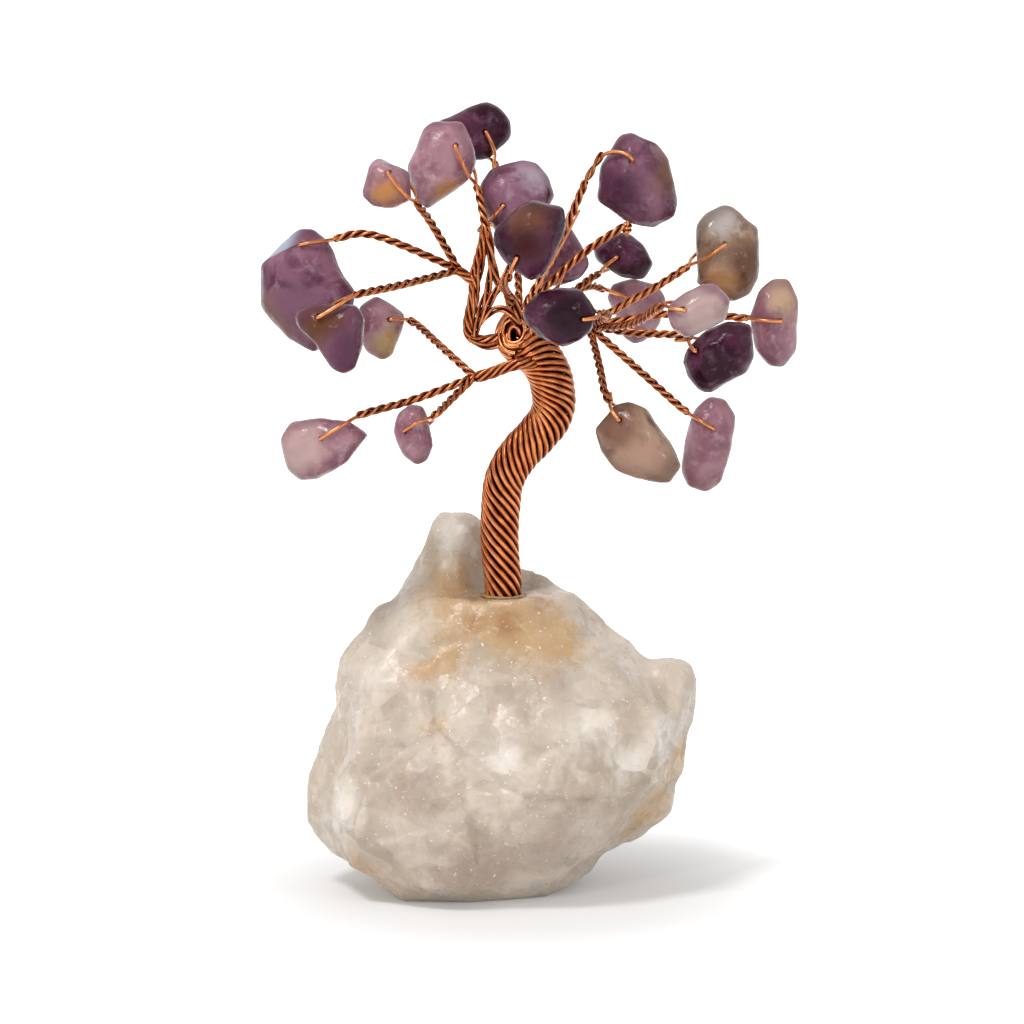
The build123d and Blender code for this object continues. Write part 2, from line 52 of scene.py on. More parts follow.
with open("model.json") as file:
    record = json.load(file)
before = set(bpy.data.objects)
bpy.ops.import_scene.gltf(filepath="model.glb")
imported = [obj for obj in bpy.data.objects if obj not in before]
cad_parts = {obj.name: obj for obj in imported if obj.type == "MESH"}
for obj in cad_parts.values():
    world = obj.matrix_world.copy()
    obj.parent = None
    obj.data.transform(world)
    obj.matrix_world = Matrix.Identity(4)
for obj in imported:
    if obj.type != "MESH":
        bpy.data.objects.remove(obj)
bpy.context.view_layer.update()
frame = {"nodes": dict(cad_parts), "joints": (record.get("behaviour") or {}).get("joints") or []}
scene = bpy.context.scene
mm = 0.001

# The vector noise starts from this number and not from the clock, so the quartz is the same each run
noise_seed = 1796027667
noise.seed_set(noise_seed)


# Sizes and routes, the same as the part's

rock_height = 53.2 * mm
seat_height = rock_height * 0.80
socket_floor = seat_height - 9.0 * mm
trunk_rise = 35.8 * mm
trunk_sway = 6.9 * mm
trunk_lean = 2.5 * mm
trunk_foot_diameter = 4.9 * mm
trunk_top_diameter = 6.5 * mm
trunk_straight = 1.8 * mm
crown_width = 78.0 * mm
crown_depth = 52.0 * mm
crown_height = 56.0 * mm
limb_diameter = 1.7 * mm
branch_diameter = 1.45 * mm
twig_diameter = 1.2 * mm
wire_diameter = 0.52 * mm
bore_diameter = 0.72 * mm
wire_lift = 0.5 * mm
chip_size = 10.0 * mm

trunk_line_shares = [
    (-0.06, 0, 0.196),
    (-0.04, 0, 0.355),
    (0.06, 0, 0.472),
    (0.35, 0, 0.564),
    (0.71, 0.15, 0.64),
    (1, 0.35, 0.729),
    (1, 0.55, 0.83),
    (0.86, 0.75, 0.91),
    (0.61, 0.9, 0.969),
    (0.3, 1, 1),
]
knot_facing_shares = (-0.3, -0.85, 0.43)

limb_line_shares = {
    "low_left_limb": [
        (0.039, -0.01, -0.049),
        (0.016, -0.079, -0.036),
        (-0.018, -0.063, -0.048),
        (-0.046, -0.044, -0.068),
        (-0.076, -0.037, -0.079),
    ],
    "high_left_limb": [
        (-0.021, 0.014, 0.019),
        (-0.057, 0.014, 0.002),
        (-0.085, 0.01, 0.014),
        (-0.089, 0.01, 0.053),
        (-0.075, 0.019, 0.127),
        (-0.078, 0.019, 0.172),
    ],
    "right_limb": [(0.025, 0.01, 0.021), (0.078, 0.029, 0.029), (0.141, 0.048, 0.041)],
}
branch_line_shares = {
    "top_branch": [(-0.078, 0.019, 0.168), (-0.066, 0.025, 0.226), (-0.055, 0.029, 0.29)],
    "left_branch": [(-0.077, 0.019, 0.152), (-0.11, 0.01, 0.188)],
    "back_branch": [(0.018, 0.048, 0.049), (0.05, 0.163, 0.084), (0.102, 0.317, 0.098)],
    "upright_branch": [(0.005, 0.029, 0.056), (0.023, 0.067, 0.109)],
}

# One chip: its width, height and thickness over chip_size, its place as shares of the crown from the
# knot, how far its face turns to the right and leans back in degrees, its hole and the neck of its
# twig as shares of its own width and height, and the twig's line to it.
Chip = namedtuple("Chip", "size_shares place_shares turn lean hole_shares neck_shares line_shares")

chips = {
    "01": Chip((1.38, 1.74, 0.75), (-0.376, 0.087, 0.125), -18, 4, (0, 0.37), (0.31, 0.42),
               [(-0.108, 0.01, 0.185), (-0.21, 0.048, 0.246), (-0.278, 0.077, 0.273)]),
    "02": Chip((0.95, 0.98, 0.6), (-0.327, -0.221, 0.036), -10, -6, (-0.12, 0.38), (0.38, 0.66),
               [(-0.108, 0.01, 0.183), (-0.19, -0.106, 0.162)]),
    "03": Chip((0.7, 0.91, 0.5), (-0.247, 0.202, 0.019), 22, 8, (0.06, 0.11), (0.7, 0.1),
               [(-0.078, -0.033, -0.077), (-0.139, 0.058, -0.012)]),
    "04": Chip((0.7, 0.71, 0.55), (-0.229, -0.106, 0.411), -20, 10, (0.16, 0.16), (0.66, -0.42),
               [(-0.107, 0.01, 0.188), (-0.155, -0.058, 0.315)]),
    "05": Chip((0.96, 1.23, 0.7), (-0.136, 0.106, 0.435), -10, 6, (0.26, 0.22), (0.54, -0.26),
               [(-0.057, 0.029, 0.285), (-0.068, 0.067, 0.361)]),
    "06": Chip((1.12, 0.82, 0.6), (-0.084, 0.375, 0.499), 16, 10, (0.1, -0.05), (0.32, -0.66),
               [(0.002, 0.03, 0.04), (0.002, 0.215, 0.195), (-0.02, 0.31, 0.33)]),
    "07": Chip((1.06, 1.06, 0.7), (-0.002, 0.144, 0.348), 10, 12, (-0.24, -0.12), (-0.54, -0.44),
               [(-0.062, 0.028, 0.25), (-0.06, 0.07, 0.268)]),
    "08": Chip((0.98, 1.1, 0.75), (0.021, -0.24, 0.281), -8, -4, (-0.13, -0.16), (-0.34, -0.54),
               [(-0.006, 0.02, 0.035), (-0.016, -0.015, 0.125), (-0.027, -0.163, 0.163)]),
    "09": Chip((0.85, 0.91, 0.65), (0.076, 0.31, 0.195), 18, 6, (-0.06, -0.2), (-0.2, -0.67),
               [(0.048, 0.155, 0.08), (0.052, 0.235, 0.098)]),
    "10": Chip((0.97, 0.81, 0.7), (0.072, -0.298, 0.101), 8, -5, (0.28, 0.04), (0.66, 0.06),
               [(0.131, 0.04, 0.045), (0.163, -0.1, 0.078)]),
    "11": Chip((1.13, 1.36, 0.75), (0.214, 0.163, 0.393), 12, 0, (-0.14, -0.11), (-0.64, 0.02),
               [(0.019, 0.062, 0.104), (0.061, 0.105, 0.195), (0.097, 0.154, 0.311)]),
    "12": Chip((0.86, 0.65, 0.55), (0.194, 0.413, 0.179), -14, 6, (-0.03, -0.03), (-0.46, -0.46),
               [(0.1, 0.317, 0.095), (0.135, 0.375, 0.13)]),
    "13": Chip((0.85, 0.97, 0.55), (0.218, 0.51, 0.027), 12, 0, (-0.2, 0.24), (-0.66, 0.36),
               [(0.1, 0.317, 0.098), (0.136, 0.433, 0.104)]),
    "14": Chip((0.94, 1.36, 0.65), (0.377, 0.26, 0.201), 16, 5, (-0.13, 0.1), (-0.64, -0.14),
               [(0.134, 0.052, 0.044), (0.183, 0.106, 0.085), (0.246, 0.163, 0.122)]),
    "15": Chip((0.86, 0.74, 0.55), (0.312, -0.317, 0.119), 10, -4, (-0.29, 0.08), (-0.65, 0.12),
               [(0.131, 0.04, 0.04), (0.17, -0.067, 0.047), (0.217, -0.202, 0.079)]),
    "16": Chip((0.99, 1, 0.7), (0.354, -0.106, -0.019), -10, -5, (-0.27, 0.14), (-0.55, 0.32),
               [(0.136, 0.046, 0.038), (0.18, 0.012, 0.03), (0.238, -0.052, 0.03)]),
    "17": Chip((0.66, 1.26, 0.55), (0.461, 0.125, 0.036), 24, 0, (-0.08, 0.06), (-0.72, 0.08),
               [(0.138, 0.05, 0.041), (0.245, 0.087, 0.067), (0.335, 0.113, 0.064)]),
    "18": Chip((1.21, 1.12, 0.65), (0.211, -0.221, -0.216), -12, 4, (-0.17, 0.28), (-0.42, 0.58),
               [(0.128, 0.038, 0.033), (0.145, -0.106, -0.043)]),
    "19": Chip((0.75, 1.37, 0.6), (0.346, 0.221, -0.282), 18, -4, (-0.08, 0.22), (-0.53, 0.38),
               [(0.136, 0.048, 0.029), (0.219, 0.125, -0.081)]),
    "20": Chip((1.27, 0.89, 0.6), (-0.342, -0.144, -0.245), -12, 0, (0.02, 0.22), (0.44, 0.6),
               [(-0.076, -0.033, -0.077), (-0.174, -0.077, -0.128)]),
    "21": Chip((0.59, 0.85, 0.5), (-0.184, -0.183, -0.203), -22, 5, (-0.04, 0.07), (0.6, 0.37),
               [(-0.078, -0.035, -0.079), (-0.12, -0.106, -0.127)]),
}
threaded_chip = "11"
threaded_wire_shares = [
    (-0.64, 0.02, 0),
    (-0.47, 0.3, 0.2),
    (-0.15, 0.34, 0.54),
    (-0.13, -0.58, 0),
]
threaded_twig_shares = [(0.024, 0.072, 0.098), (0.072, 0.128, 0.162), (0.147, 0.15, 0.244)]

trunk_points = [
    Vector((x * trunk_sway, -y * trunk_lean, seat_height + z * trunk_rise)) for x, y, z in trunk_line_shares
]
knot_middle = trunk_points[-1]


def crown_point(shares):
    """A place in the crown, from its shares of the crown's sizes."""
    across, back, rise = shares
    return knot_middle + Vector((across * crown_width, back * crown_depth, rise * crown_height))


def crown_line(line_shares):
    """Places along a line in the crown."""
    return [crown_point(shares) for shares in line_shares]


def chip_axes(chip):
    """A chip's directions across and up its face, and out of its front."""
    turn, lean = math.radians(chip.turn), math.radians(chip.lean)
    facing = Vector((math.sin(turn) * math.cos(lean), -math.cos(turn) * math.cos(lean), math.sin(lean)))
    across = Vector((math.cos(turn), math.sin(turn), 0))
    return across, facing.cross(across), facing


def on_chip(chip, shares, lift=0.0):
    """A point on a chip's middle plane, or lifted off it, from its shares of the chip's sizes."""
    width, height, _ = chip.size_shares
    across, rise, facing = chip_axes(chip)
    middle = crown_point(chip.place_shares)
    return middle + chip_size * (across * shares[0] * width + rise * shares[1] * height) + facing * lift


# Node trees, for materials and for geometry


class Value:
    """A socket's value, for use in Python's arithmetic."""

    def __init__(self, tree, socket):
        self.tree = tree
        self.socket = socket

    def maths(self, operation, *terms):
        """Arithmetic on values, as one node."""
        return self.tree.node("ShaderNodeMath", {"operation": operation}, dict(enumerate(terms)))

    def __add__(self, other):
        return self.maths("ADD", self, other)

    __radd__ = __add__

    def __sub__(self, other):
        return self.maths("SUBTRACT", self, other)

    def __rsub__(self, other):
        return self.maths("SUBTRACT", other, self)

    def __mul__(self, other):
        return self.maths("MULTIPLY", self, other)

    __rmul__ = __mul__

    def __truediv__(self, other):
        return self.maths("DIVIDE", self, other)

    def eased(self, low, high):
        """0 below low and 1 above high, with a soft step between; the other way round if low is larger."""
        settings = {"interpolation_type": "SMOOTHSTEP"}
        values = {"Value": self, "From Min": low, "From Max": high}
        return self.tree.node("ShaderNodeMapRange", settings, values)


class Tree:
    """A node tree, filled one node at a time."""

    def __init__(self, tree):
        self.tree = tree

    def feed(self, socket, value):
        """Links a value to a socket, or sets the socket to a plain one."""
        if isinstance(value, Value):
            self.tree.links.new(value.socket, socket)
        else:
            socket.default_value = value

    def node(self, kind, settings=None, values=None, output=0):
        """A node's output, once its settings and its inputs are given."""
        made = self.tree.nodes.new(kind)
        for name, setting in (settings or {}).items():
            setattr(made, name, setting)
        for key, value in (values or {}).items():
            self.feed(made.inputs[key], value)
        return Value(self, made.outputs[output])

    def other(self, value, output):
        """Another output of the node that a value comes from."""
        return Value(self, value.socket.node.outputs[output])

    def mix(self, share, first, second):
        """One colour at a share of 0 and another at 1."""
        return self.node("ShaderNodeMix", {"data_type": "RGBA"}, {0: share, 6: first, 7: second}, 2)

    def vector(self, operation, *terms, output=0):
        """Arithmetic on vectors, as one node."""
        return self.node("ShaderNodeVectorMath", {"operation": operation}, dict(enumerate(terms)), output)


class Finish(Tree):
    """A material, with its place on the piece at hand."""

    def __init__(self, name):
        self.material = bpy.data.materials.new(name)
        self.material.use_nodes = True
        super().__init__(self.material.node_tree)
        self.shader = self.tree.nodes["Principled BSDF"]
        self.place = self.node("ShaderNodeTexCoord", output="Object")

    def grain(self, size, detail=3, roughness=0.5, distortion=0.0, shift=(0, 0, 0)):
        """Cloudy noise with features of about this size."""
        values = {
            "Vector": self.vector("ADD", self.place, shift),
            "Scale": 1 / size,
            "Detail": detail,
            "Roughness": roughness,
            "Distortion": distortion,
        }
        return self.node("ShaderNodeTexNoise", None, values)

    def facet(self, size):
        """The height of flat facets, tilted each its own way."""
        cell = self.node("ShaderNodeTexVoronoi", None, {"Vector": self.place, "Scale": 1 / size}, "Color")
        tilt = self.vector("SUBTRACT", cell, (0.5, 0.5, 0.5))
        from_seed = self.vector("SUBTRACT", self.place, self.other(cell, "Position"))
        return self.vector("DOT_PRODUCT", tilt, from_seed, output="Value") / size

    def near(self, point, reach):
        """1 at a point, and 0 from this far away."""
        return self.vector("DISTANCE", self.place, point, output="Value").eased(reach, 0)

    def along(self, way, start):
        """How far the place lies along a direction, from where it starts."""
        return self.vector("DOT_PRODUCT", self.place, way, output="Value") - start.dot(way)

    def finish(self, **sockets):
        """Sets the shader's sockets, whose names' spaces are underscores."""
        for name, value in sockets.items():
            self.feed(self.shader.inputs[name.replace("_", " ")], value)

    def bump(self, height, depth, strength):
        """A normal that shows relief, where a height of 1 stands this deep."""
        values = {"Height": height, "Distance": depth, "Strength": strength}
        return self.node("ShaderNodeBump", None, values, "Normal")


def colour(red, green, blue):
    """A colour as written on a 0 to 255 scale, for a shader."""
    linear = [((c / 255 + 0.055) / 1.055) ** 2.4 if c > 10 else c / 255 / 12.92 for c in (red, green, blue)]
    return (*linear, 1.0)


# Finishes


def copper_finish(name, bright, middle, groove_shade):
    """Drawn copper wire, with painted shade down between the strands and a painted highlight along each
    strand's crest.
    """
    finish = Finish(name)
    proud = finish.node("ShaderNodeAttribute", {"attribute_name": "proud"}, output="Fac")
    tarnish = finish.grain(2.2 * mm, 4, 0.6)
    drawn = finish.grain(0.35 * mm, 2)
    # Tarnish varies the tone at random; the crest of each strand gets a painted highlight
    tone = finish.mix(0.4 * tarnish.eased(0.35, 0.7) + 0.45 * proud.eased(0.82, 1.0), middle, bright)
    finish.finish(
        # Painted shade: darker down between the strands, where proud is low
        Base_Color=finish.mix(proud.eased(-0.1, 0.9), groove_shade, tone),
        Metallic=1.0,
        Roughness=0.2 + 0.14 * tarnish + 0.06 * drawn,
        Normal=finish.bump(drawn, 0.02 * mm, 0.4),
    )
    return finish.material


def quartz_finish():
    """Milky quartz: waxy, broken into facets, whiter where bruised and ochre where iron has got in, with
    painted light on the peak's top, painted shade low on the front and in the hollows, and painted glints.
    """
    finish = Finish("milky quartz")
    broad = finish.facet(6.5 * mm)
    small = finish.facet(2.4 * mm)
    cloud = finish.grain(13 * mm, 3, 0.5, 0.2)
    veil = finish.grain(5.0 * mm, 4, 0.55, 0.5, (0.04, 0, 0))
    haze = finish.grain(1.4 * mm, 4, 0.6, 0.2)
    crumb = finish.grain(0.5 * mm, 3, 0.6)
    tone = finish.mix((cloud + 0.3 * broad).eased(0.34, 0.68), colour(192, 175, 157), colour(216, 203, 188))
    tone = finish.mix(0.6 * veil.eased(0.46, 0.7), tone, colour(232, 221, 208))
    tinted = [
        (shaded_hollows, colour(170, 149, 136), 0.65, 0.6),
        (ochre_stains, colour(196, 158, 108), 0.8, 1.3),
        (rust_streaks, colour(164, 114, 66), 0.7, 1.4),
        (white_bruises_and_peak_light, colour(242, 234, 224), 0.8, 1.0),
    ]
    for spots, tint, depth, ragged in tinted:
        reached = 0
        for *place, reach in spots:
            reached = reached + finish.near(Vector(place) * mm, reach * mm)
        share = (reached + ragged * (veil + haze - 1.0) + 0.5 * broad + 0.3 * small).eased(0.0, 1.1)
        tone = finish.mix(depth * share, tone, tint)
    glint = crumb.eased(0.63, 0.69) * haze.eased(0.48, 0.58)
    tone = finish.mix(glint, tone, (1, 1, 1, 1))
    height = 0.3 * veil + 0.25 * haze + 3.8 * broad + 1.6 * small
    finish.finish(
        Base_Color=tone,
        Roughness=0.42 - 0.25 * haze - 0.25 * glint,
        IOR=1.5,
        Specular_IOR_Level=0.35,
        Subsurface_Weight=0.5,
        Subsurface_Radius=(1.0, 0.78, 0.6),
        Subsurface_Scale=1.6 * mm,
        Normal=finish.bump(height, 0.6 * mm, 0.8),
    )
    return finish.material


def amethyst_finish(name, look, chip):
    """Tumbled amethyst, with cloudy bands of colour, the patches that this chip shows and painted shade
    towards its outline.
    """
    finish = Finish(f"amethyst {name}")
    shift = (0.013 * int(name), 0.007 * int(name), 0)
    band = finish.grain(5.0 * mm, 3, 0.5, 0.6, shift)
    cloud = finish.grain(2.0 * mm, 4, 0.6, 0.5, shift)
    fleck = finish.grain(0.6 * mm, 3, 0.5, 0, shift)
    tone = finish.mix(band.eased(0.36, 0.64), look.deep, look.middle)
    tone = finish.mix(0.55 * cloud.eased(0.48, 0.76), tone, look.pale)
    for place, reach, patch in look.patches:
        share = 1.3 * finish.near(on_chip(chip, place, patch_lift), 1.7 * reach * chip_size)
        tone = finish.mix((share + 1.1 * (band + cloud - 1.0)).eased(0.05, 1.15), tone, patch)
    # Painted shade: the stone's colour darkens towards its outline
    across, rise, _ = chip_axes(chip)
    middle = crown_point(chip.place_shares)
    spread = 0
    for way, size in zip((across, rise), chip.size_shares):
        off = finish.along(way, middle) / (size * chip_size)
        spread = spread + off * off
    tone = finish.mix(0.6 * (spread + 0.12 * cloud - 0.06).eased(0.1, 0.25), tone, look.deep)
    for slant, reach, side, patch in look.facets:
        bearing = math.radians(slant)
        out = across * math.cos(bearing) + rise * math.sin(bearing)
        beyond = finish.along(out, middle + out * reach * chip_size)
        fade = (side * finish.along(across, middle)).eased(-0.5 * mm, 3.0 * mm)
        tone = finish.mix(beyond.eased(0, 0.25 * mm) * fade, tone, patch)
    finish.finish(
        Base_Color=tone,
        Roughness=0.08 + 0.12 * cloud + 0.04 * fleck,
        IOR=1.5,
        Specular_IOR_Level=0.09,
        Transmission_Weight=look.clearness,
        Subsurface_Weight=0.3,
        Subsurface_Radius=(1.0, 0.55, 0.9),
        Subsurface_Scale=0.9 * mm,
        Normal=finish.bump(0.8 * band + 0.5 * cloud + 0.15 * fleck, 0.4 * mm, 0.6),
    )
    return finish.material


def glue_finish():
    """Clear glue, yellowed and streaked with copper salts."""
    finish = Finish("yellowed glue")
    cloud = finish.grain(1.4 * mm, 4, 0.6, 0.5)
    finish.finish(
        Base_Color=finish.mix(cloud.eased(0.35, 0.65), colour(170, 122, 78), colour(208, 174, 130)),
        Roughness=0.4 + 0.2 * cloud,
        Subsurface_Weight=0.4,
        Subsurface_Scale=1.0 * mm,
        Normal=finish.bump(cloud, 0.2 * mm, 0.6),
    )
    return finish.material


# Where the quartz is tinted: each spot's place and reach, in mm
ochre_stains = [
    (-6, -3, 42, 10), (4, -7, 38.5, 10), (-7.5, 2, 45.5, 6.5), (8, -6, 38, 7), (0, -6, 40, 7),
    (-8, -9, 36, 6), (-12, -10, 34.5, 4.5), (-10.2, -14, 27.5, 4), (-10.4, -14.5, 24.5, 3), (-21, -7, 3, 8),
    (25.5, -2, 16, 7.5), (22.5, -3, 11, 7.5), (18.5, -3, 7, 6), (26.5, 0, 20, 4.5),
]
rust_streaks = [
    (-3.2, -2.8, 42.4, 2.6), (-4, -6, 39.5, 3), (5, -2.4, 42.2, 3), (0.5, -6, 39.5, 4),
    (-12.3, -11, 34.8, 1.8), (-10.4, -15, 26, 1.5), (23, -3, 10, 4.5), (25, -3, 15, 3.5),
]
# Whiter spots: bruised quartz, and in the last two, painted light on the peak's top
white_bruises_and_peak_light = [
    (13, -15, 27, 8), (18, -12, 20.5, 6), (23, -8, 24, 5), (-11.4, -13, 31, 3), (-20, -8, 33, 6),
    (-22, -9, 14, 6), (-7, 4, 51.5, 5), (0, -16, 23, 5), (-8, 1, 48, 5.5),
]
shaded_hollows = [
    (-12, -14, 18, 8), (8, -17, 12, 9), (2, -16, 6, 9), (16, -13, 8, 7), (8, -12, 33, 6), (-6, -13, 6, 9),
    (10, -13, 5, 8),
]

# How a chip's stone looks: its three tints, how clear it is, patches of another tint (each one's place as
# shares of its width and height, its reach over chip_size and its colour) and flat facets (the bearing
# they face, how far out they start over chip_size, the side they fade from and their colour).
Look = namedtuple("Look", "deep middle pale clearness patches facets", defaults=[[], []])
# How far in front of a chip's middle plane its patches are centred
patch_lift = 2.5 * mm

violet = (colour(98, 54, 74), colour(146, 100, 120), colour(196, 160, 174))
dark_violet = (colour(50, 14, 32), colour(98, 50, 74), colour(150, 108, 132))
rose = (colour(146, 96, 112), colour(186, 142, 152), colour(228, 200, 202))
smoke = (colour(128, 92, 68), colour(182, 150, 126), colour(222, 200, 178))
ice = colour(176, 180, 200)
amber = colour(206, 142, 74)
brown = colour(106, 66, 44)
ink = colour(40, 16, 28)

looks = {
    "01": Look(
        *violet, 0.1, [((-0.34, -0.3), 0.45, colour(132, 98, 84)), ((0, -0.1), 0.4, colour(128, 88, 108))],
        [(115, 0.6, -1, ice)],
    ),
    "02": Look(*violet, 0.1, [((-0.1, 0.35), 0.38, brown), ((0.3, -0.1), 0.3, colour(104, 60, 86))]),
    "03": Look(*rose, 0.3, [((0.1, -0.35), 0.3, colour(190, 160, 110))]),
    "04": Look(*rose, 0.3, [((0.15, -0.4), 0.3, amber)]),
    "05": Look(*rose, 0.25, [((0.2, -0.4), 0.25, amber)]),
    "06": Look(*dark_violet, 0.05),
    "07": Look(*violet, 0.1, [((0.25, 0.3), 0.3, colour(180, 158, 172))]),
    "08": Look(
        *dark_violet, 0.06, [((0, 0.38), 0.36, colour(112, 70, 56)), ((0, 0), 0.26, colour(66, 20, 22))]
    ),
    "09": Look(*violet, 0.1),
    "10": Look(*dark_violet, 0.05, [((0.1, 0.1), 0.35, ink)]),
    "11": Look(
        *violet, 0.08, [((0.42, 0.1), 0.34, colour(128, 92, 74)), ((-0.3, -0.1), 0.35, colour(84, 44, 68))]
    ),
    "12": Look(*dark_violet, 0.1),
    "13": Look(*rose, 0.4),
    "14": Look(
        *smoke, 0.4,
        [
            ((0.2, -0.12), 0.3, brown),
            ((-0.2, 0.42), 0.36, colour(202, 196, 194)),
            ((-0.2, -0.35), 0.26, colour(198, 142, 88)),
        ],
    ),
    "15": Look(*rose, 0.4, [((0, 0), 0.5, colour(208, 180, 176))]),
    "16": Look(*dark_violet, 0.05),
    "17": Look(*rose, 0.3, [((0.1, 0.4), 0.4, colour(206, 176, 140))]),
    "18": Look(
        *smoke, 0.35, [((0.1, -0.3), 0.4, colour(190, 152, 132)), ((-0.2, 0.2), 0.3, colour(138, 96, 78))]
    ),
    "19": Look(*rose, 0.25),
    "20": Look(*rose, 0.4, [((-0.2, 0.1), 0.45, colour(206, 176, 170))]),
    "21": Look(*rose, 0.3),
}
chip_slots = {
    **dict.fromkeys(["03", "04", "13", "15", "20"], "pale_amethyst"),
    **dict.fromkeys(["06", "08", "10", "12", "16"], "deep_amethyst"),
    **dict.fromkeys(["14", "18"], "smoky_quartz"),
}

copper = copper_finish("copper wire", colour(222, 148, 98), colour(134, 60, 24), colour(62, 20, 6))


# Wire


def linked(name, data):
    """A new object in the scene."""
    made = bpy.data.objects.new(name, data)
    scene.collection.objects.link(made)
    return made


def route(name, points, smooth_through):
    """A smooth line: near its points as the part's bends are, or through each of them."""
    data = bpy.data.curves.new(name, "CURVE")
    data.dimensions = "3D"
    if smooth_through:
        spline = data.splines.new("BEZIER")
        spline.bezier_points.add(len(points) - 1)
        for knot, point in zip(spline.bezier_points, points):
            knot.co = point
            knot.handle_left_type = knot.handle_right_type = "AUTO"
    else:
        spline = data.splines.new("NURBS")
        spline.points.add(len(points) - 1)
        for knot, point in zip(spline.points, points):
            knot.co = (*point, 1)
        spline.order_u = 3
        spline.use_endpoint_u = True
    spline.resolution_u = 24
    return linked(name, data)


# What the strand tree is told, by the kind of its sockets
strand_inputs = {
    "NodeSocketInt": ["Strands", "Sides", "Seed"],
    "NodeSocketFloat": [
        "Strand Radius", "Lay Radius", "End Lay Radius", "Turns Per Metre", "End Turns Per Metre",
        "Looseness", "Pinch", "Step",
    ],
    "NodeSocketMaterial": ["Material"],
}
# How much of its lay and of its thickness a strand keeps where the bundle is pinched to an end
pinched_lay = 0.1
pinched_thickness = 0.35
# How far a loose strand wanders from its lay, the noise's bends per metre and its step between strands
wander_share = 0.35
wander_bends = 420.0
wander_step = 7.3


def strand_tree():
    """A twisted bundle: strands laid left-handed around a route, side by side."""
    group = bpy.data.node_groups.new("twisted strands", "GeometryNodeTree")
    for direction in ("INPUT", "OUTPUT"):
        group.interface.new_socket("Geometry", in_out=direction, socket_type="NodeSocketGeometry")
    for kind, names in strand_inputs.items():
        for name in names:
            group.interface.new_socket(name, in_out="INPUT", socket_type=kind)
    tree = Tree(group)
    given = tree.node("NodeGroupInput", output="Geometry")

    def told(name):
        return tree.other(given, name)

    def scaled(way, reach):
        return tree.node("ShaderNodeVectorMath", {"operation": "SCALE"}, {"Vector": way, "Scale": reach})

    stepped = {"Curve": given, "Length": told("Step")}
    line = tree.node("GeometryNodeResampleCurve", {"mode": "LENGTH"}, stepped)
    bundle = tree.node(
        "GeometryNodeDuplicateElements", {"domain": "SPLINE"}, {"Geometry": line, "Amount": told("Strands")}
    )
    strand = tree.other(bundle, "Duplicate Index")
    along = tree.node("GeometryNodeSplineParameter", output="Length")
    share = tree.other(along, "Factor")
    left = tree.node("GeometryNodeSplineLength", output="Length") - along
    pinched = left.eased(0, told("Pinch"))
    tangent = tree.node("GeometryNodeInputTangent")
    side = tree.node("GeometryNodeInputNormal")
    other_side = tree.vector("CROSS_PRODUCT", tangent, side)
    axis = tree.node("GeometryNodeInputPosition")
    loose = told("Looseness")
    drift = wander_step * strand + told("Seed")
    wander_values = {"Vector": axis, "W": drift, "Scale": wander_bends, "Detail": 1.0}
    wander = tree.node("ShaderNodeTexNoise", {"noise_dimensions": "4D"}, wander_values) - 0.5
    first_rate = told("Turns Per Metre")
    turns = along * (first_rate + 0.5 * share * (told("End Turns Per Metre") - first_rate))
    angle = -2 * math.pi * turns + 2 * math.pi * strand / told("Strands") + loose * wander
    first_lay = told("Lay Radius")
    full_lay = first_lay + share * (told("End Lay Radius") - first_lay)
    lay = full_lay * (1 + wander_share * loose * wander) * (pinched_lay + (1 - pinched_lay) * pinched)
    kept = tree.node("GeometryNodeCaptureAttribute", {"domain": "POINT"}, {"Geometry": bundle})
    marks = [("VECTOR", "Axis", axis), ("FLOAT", "Lay", lay), ("FLOAT", "Pinched", pinched)]
    for kind, item, value in marks:
        kept.socket.node.capture_items.new(kind, item)
        tree.feed(kept.socket.node.inputs[item], value)
    outward = scaled(side, lay * angle.maths("COSINE", angle))
    offset = tree.vector("ADD", outward, scaled(other_side, lay * angle.maths("SINE", angle)))
    laid = tree.node("GeometryNodeSetPosition", None, {"Geometry": kept, "Offset": offset})
    rounded = {"Resolution": told("Sides"), "Radius": told("Strand Radius")}
    profile = tree.node("GeometryNodeCurvePrimitiveCircle", None, rounded)
    thinned = pinched_thickness + (1 - pinched_thickness) * tree.other(kept, "Pinched")
    swept = {"Curve": laid, "Profile Curve": profile, "Scale": thinned, "Fill Caps": True}
    wires = tree.node("GeometryNodeCurveToMesh", None, swept)
    place = tree.node("GeometryNodeInputPosition")
    off_axis = tree.vector("DISTANCE", place, tree.other(kept, "Axis"), output="Value")
    proud = (off_axis - tree.other(kept, "Lay")) / told("Strand Radius")
    marked = tree.node(
        "GeometryNodeStoreNamedAttribute",
        {"data_type": "FLOAT", "domain": "POINT"},
        {"Geometry": wires, "Name": "proud", "Value": proud},
    )
    smooth = tree.node("GeometryNodeSetShadeSmooth", None, {"Geometry": marked})
    whole = tree.node("GeometryNodeRealizeInstances", None, {"Geometry": smooth})
    dressed = tree.node("GeometryNodeSetMaterial", None, {"Geometry": whole, "Material": told("Material")})
    end = group.nodes.new("NodeGroupOutput")
    tree.feed(end.inputs["Geometry"], dressed)
    return group


strands_tree = strand_tree()


def grown(line, tree, **inputs):
    """The mesh that a geometry tree makes from a line, which is then put away."""
    modifier = line.modifiers.new("tree", "NODES")
    modifier.node_group = tree
    identifiers = {
        item.name: item.identifier
        for item in tree.interface.items_tree
        if item.in_out == "INPUT" and item.socket_type != "NodeSocketGeometry"
    }
    for name, value in inputs.items():
        modifier[identifiers[name.replace("_", " ")]] = value
    evaluated = line.evaluated_get(bpy.context.evaluated_depsgraph_get())
    mesh = bpy.data.meshes.new_from_object(evaluated)
    bpy.data.objects.remove(line)
    return mesh


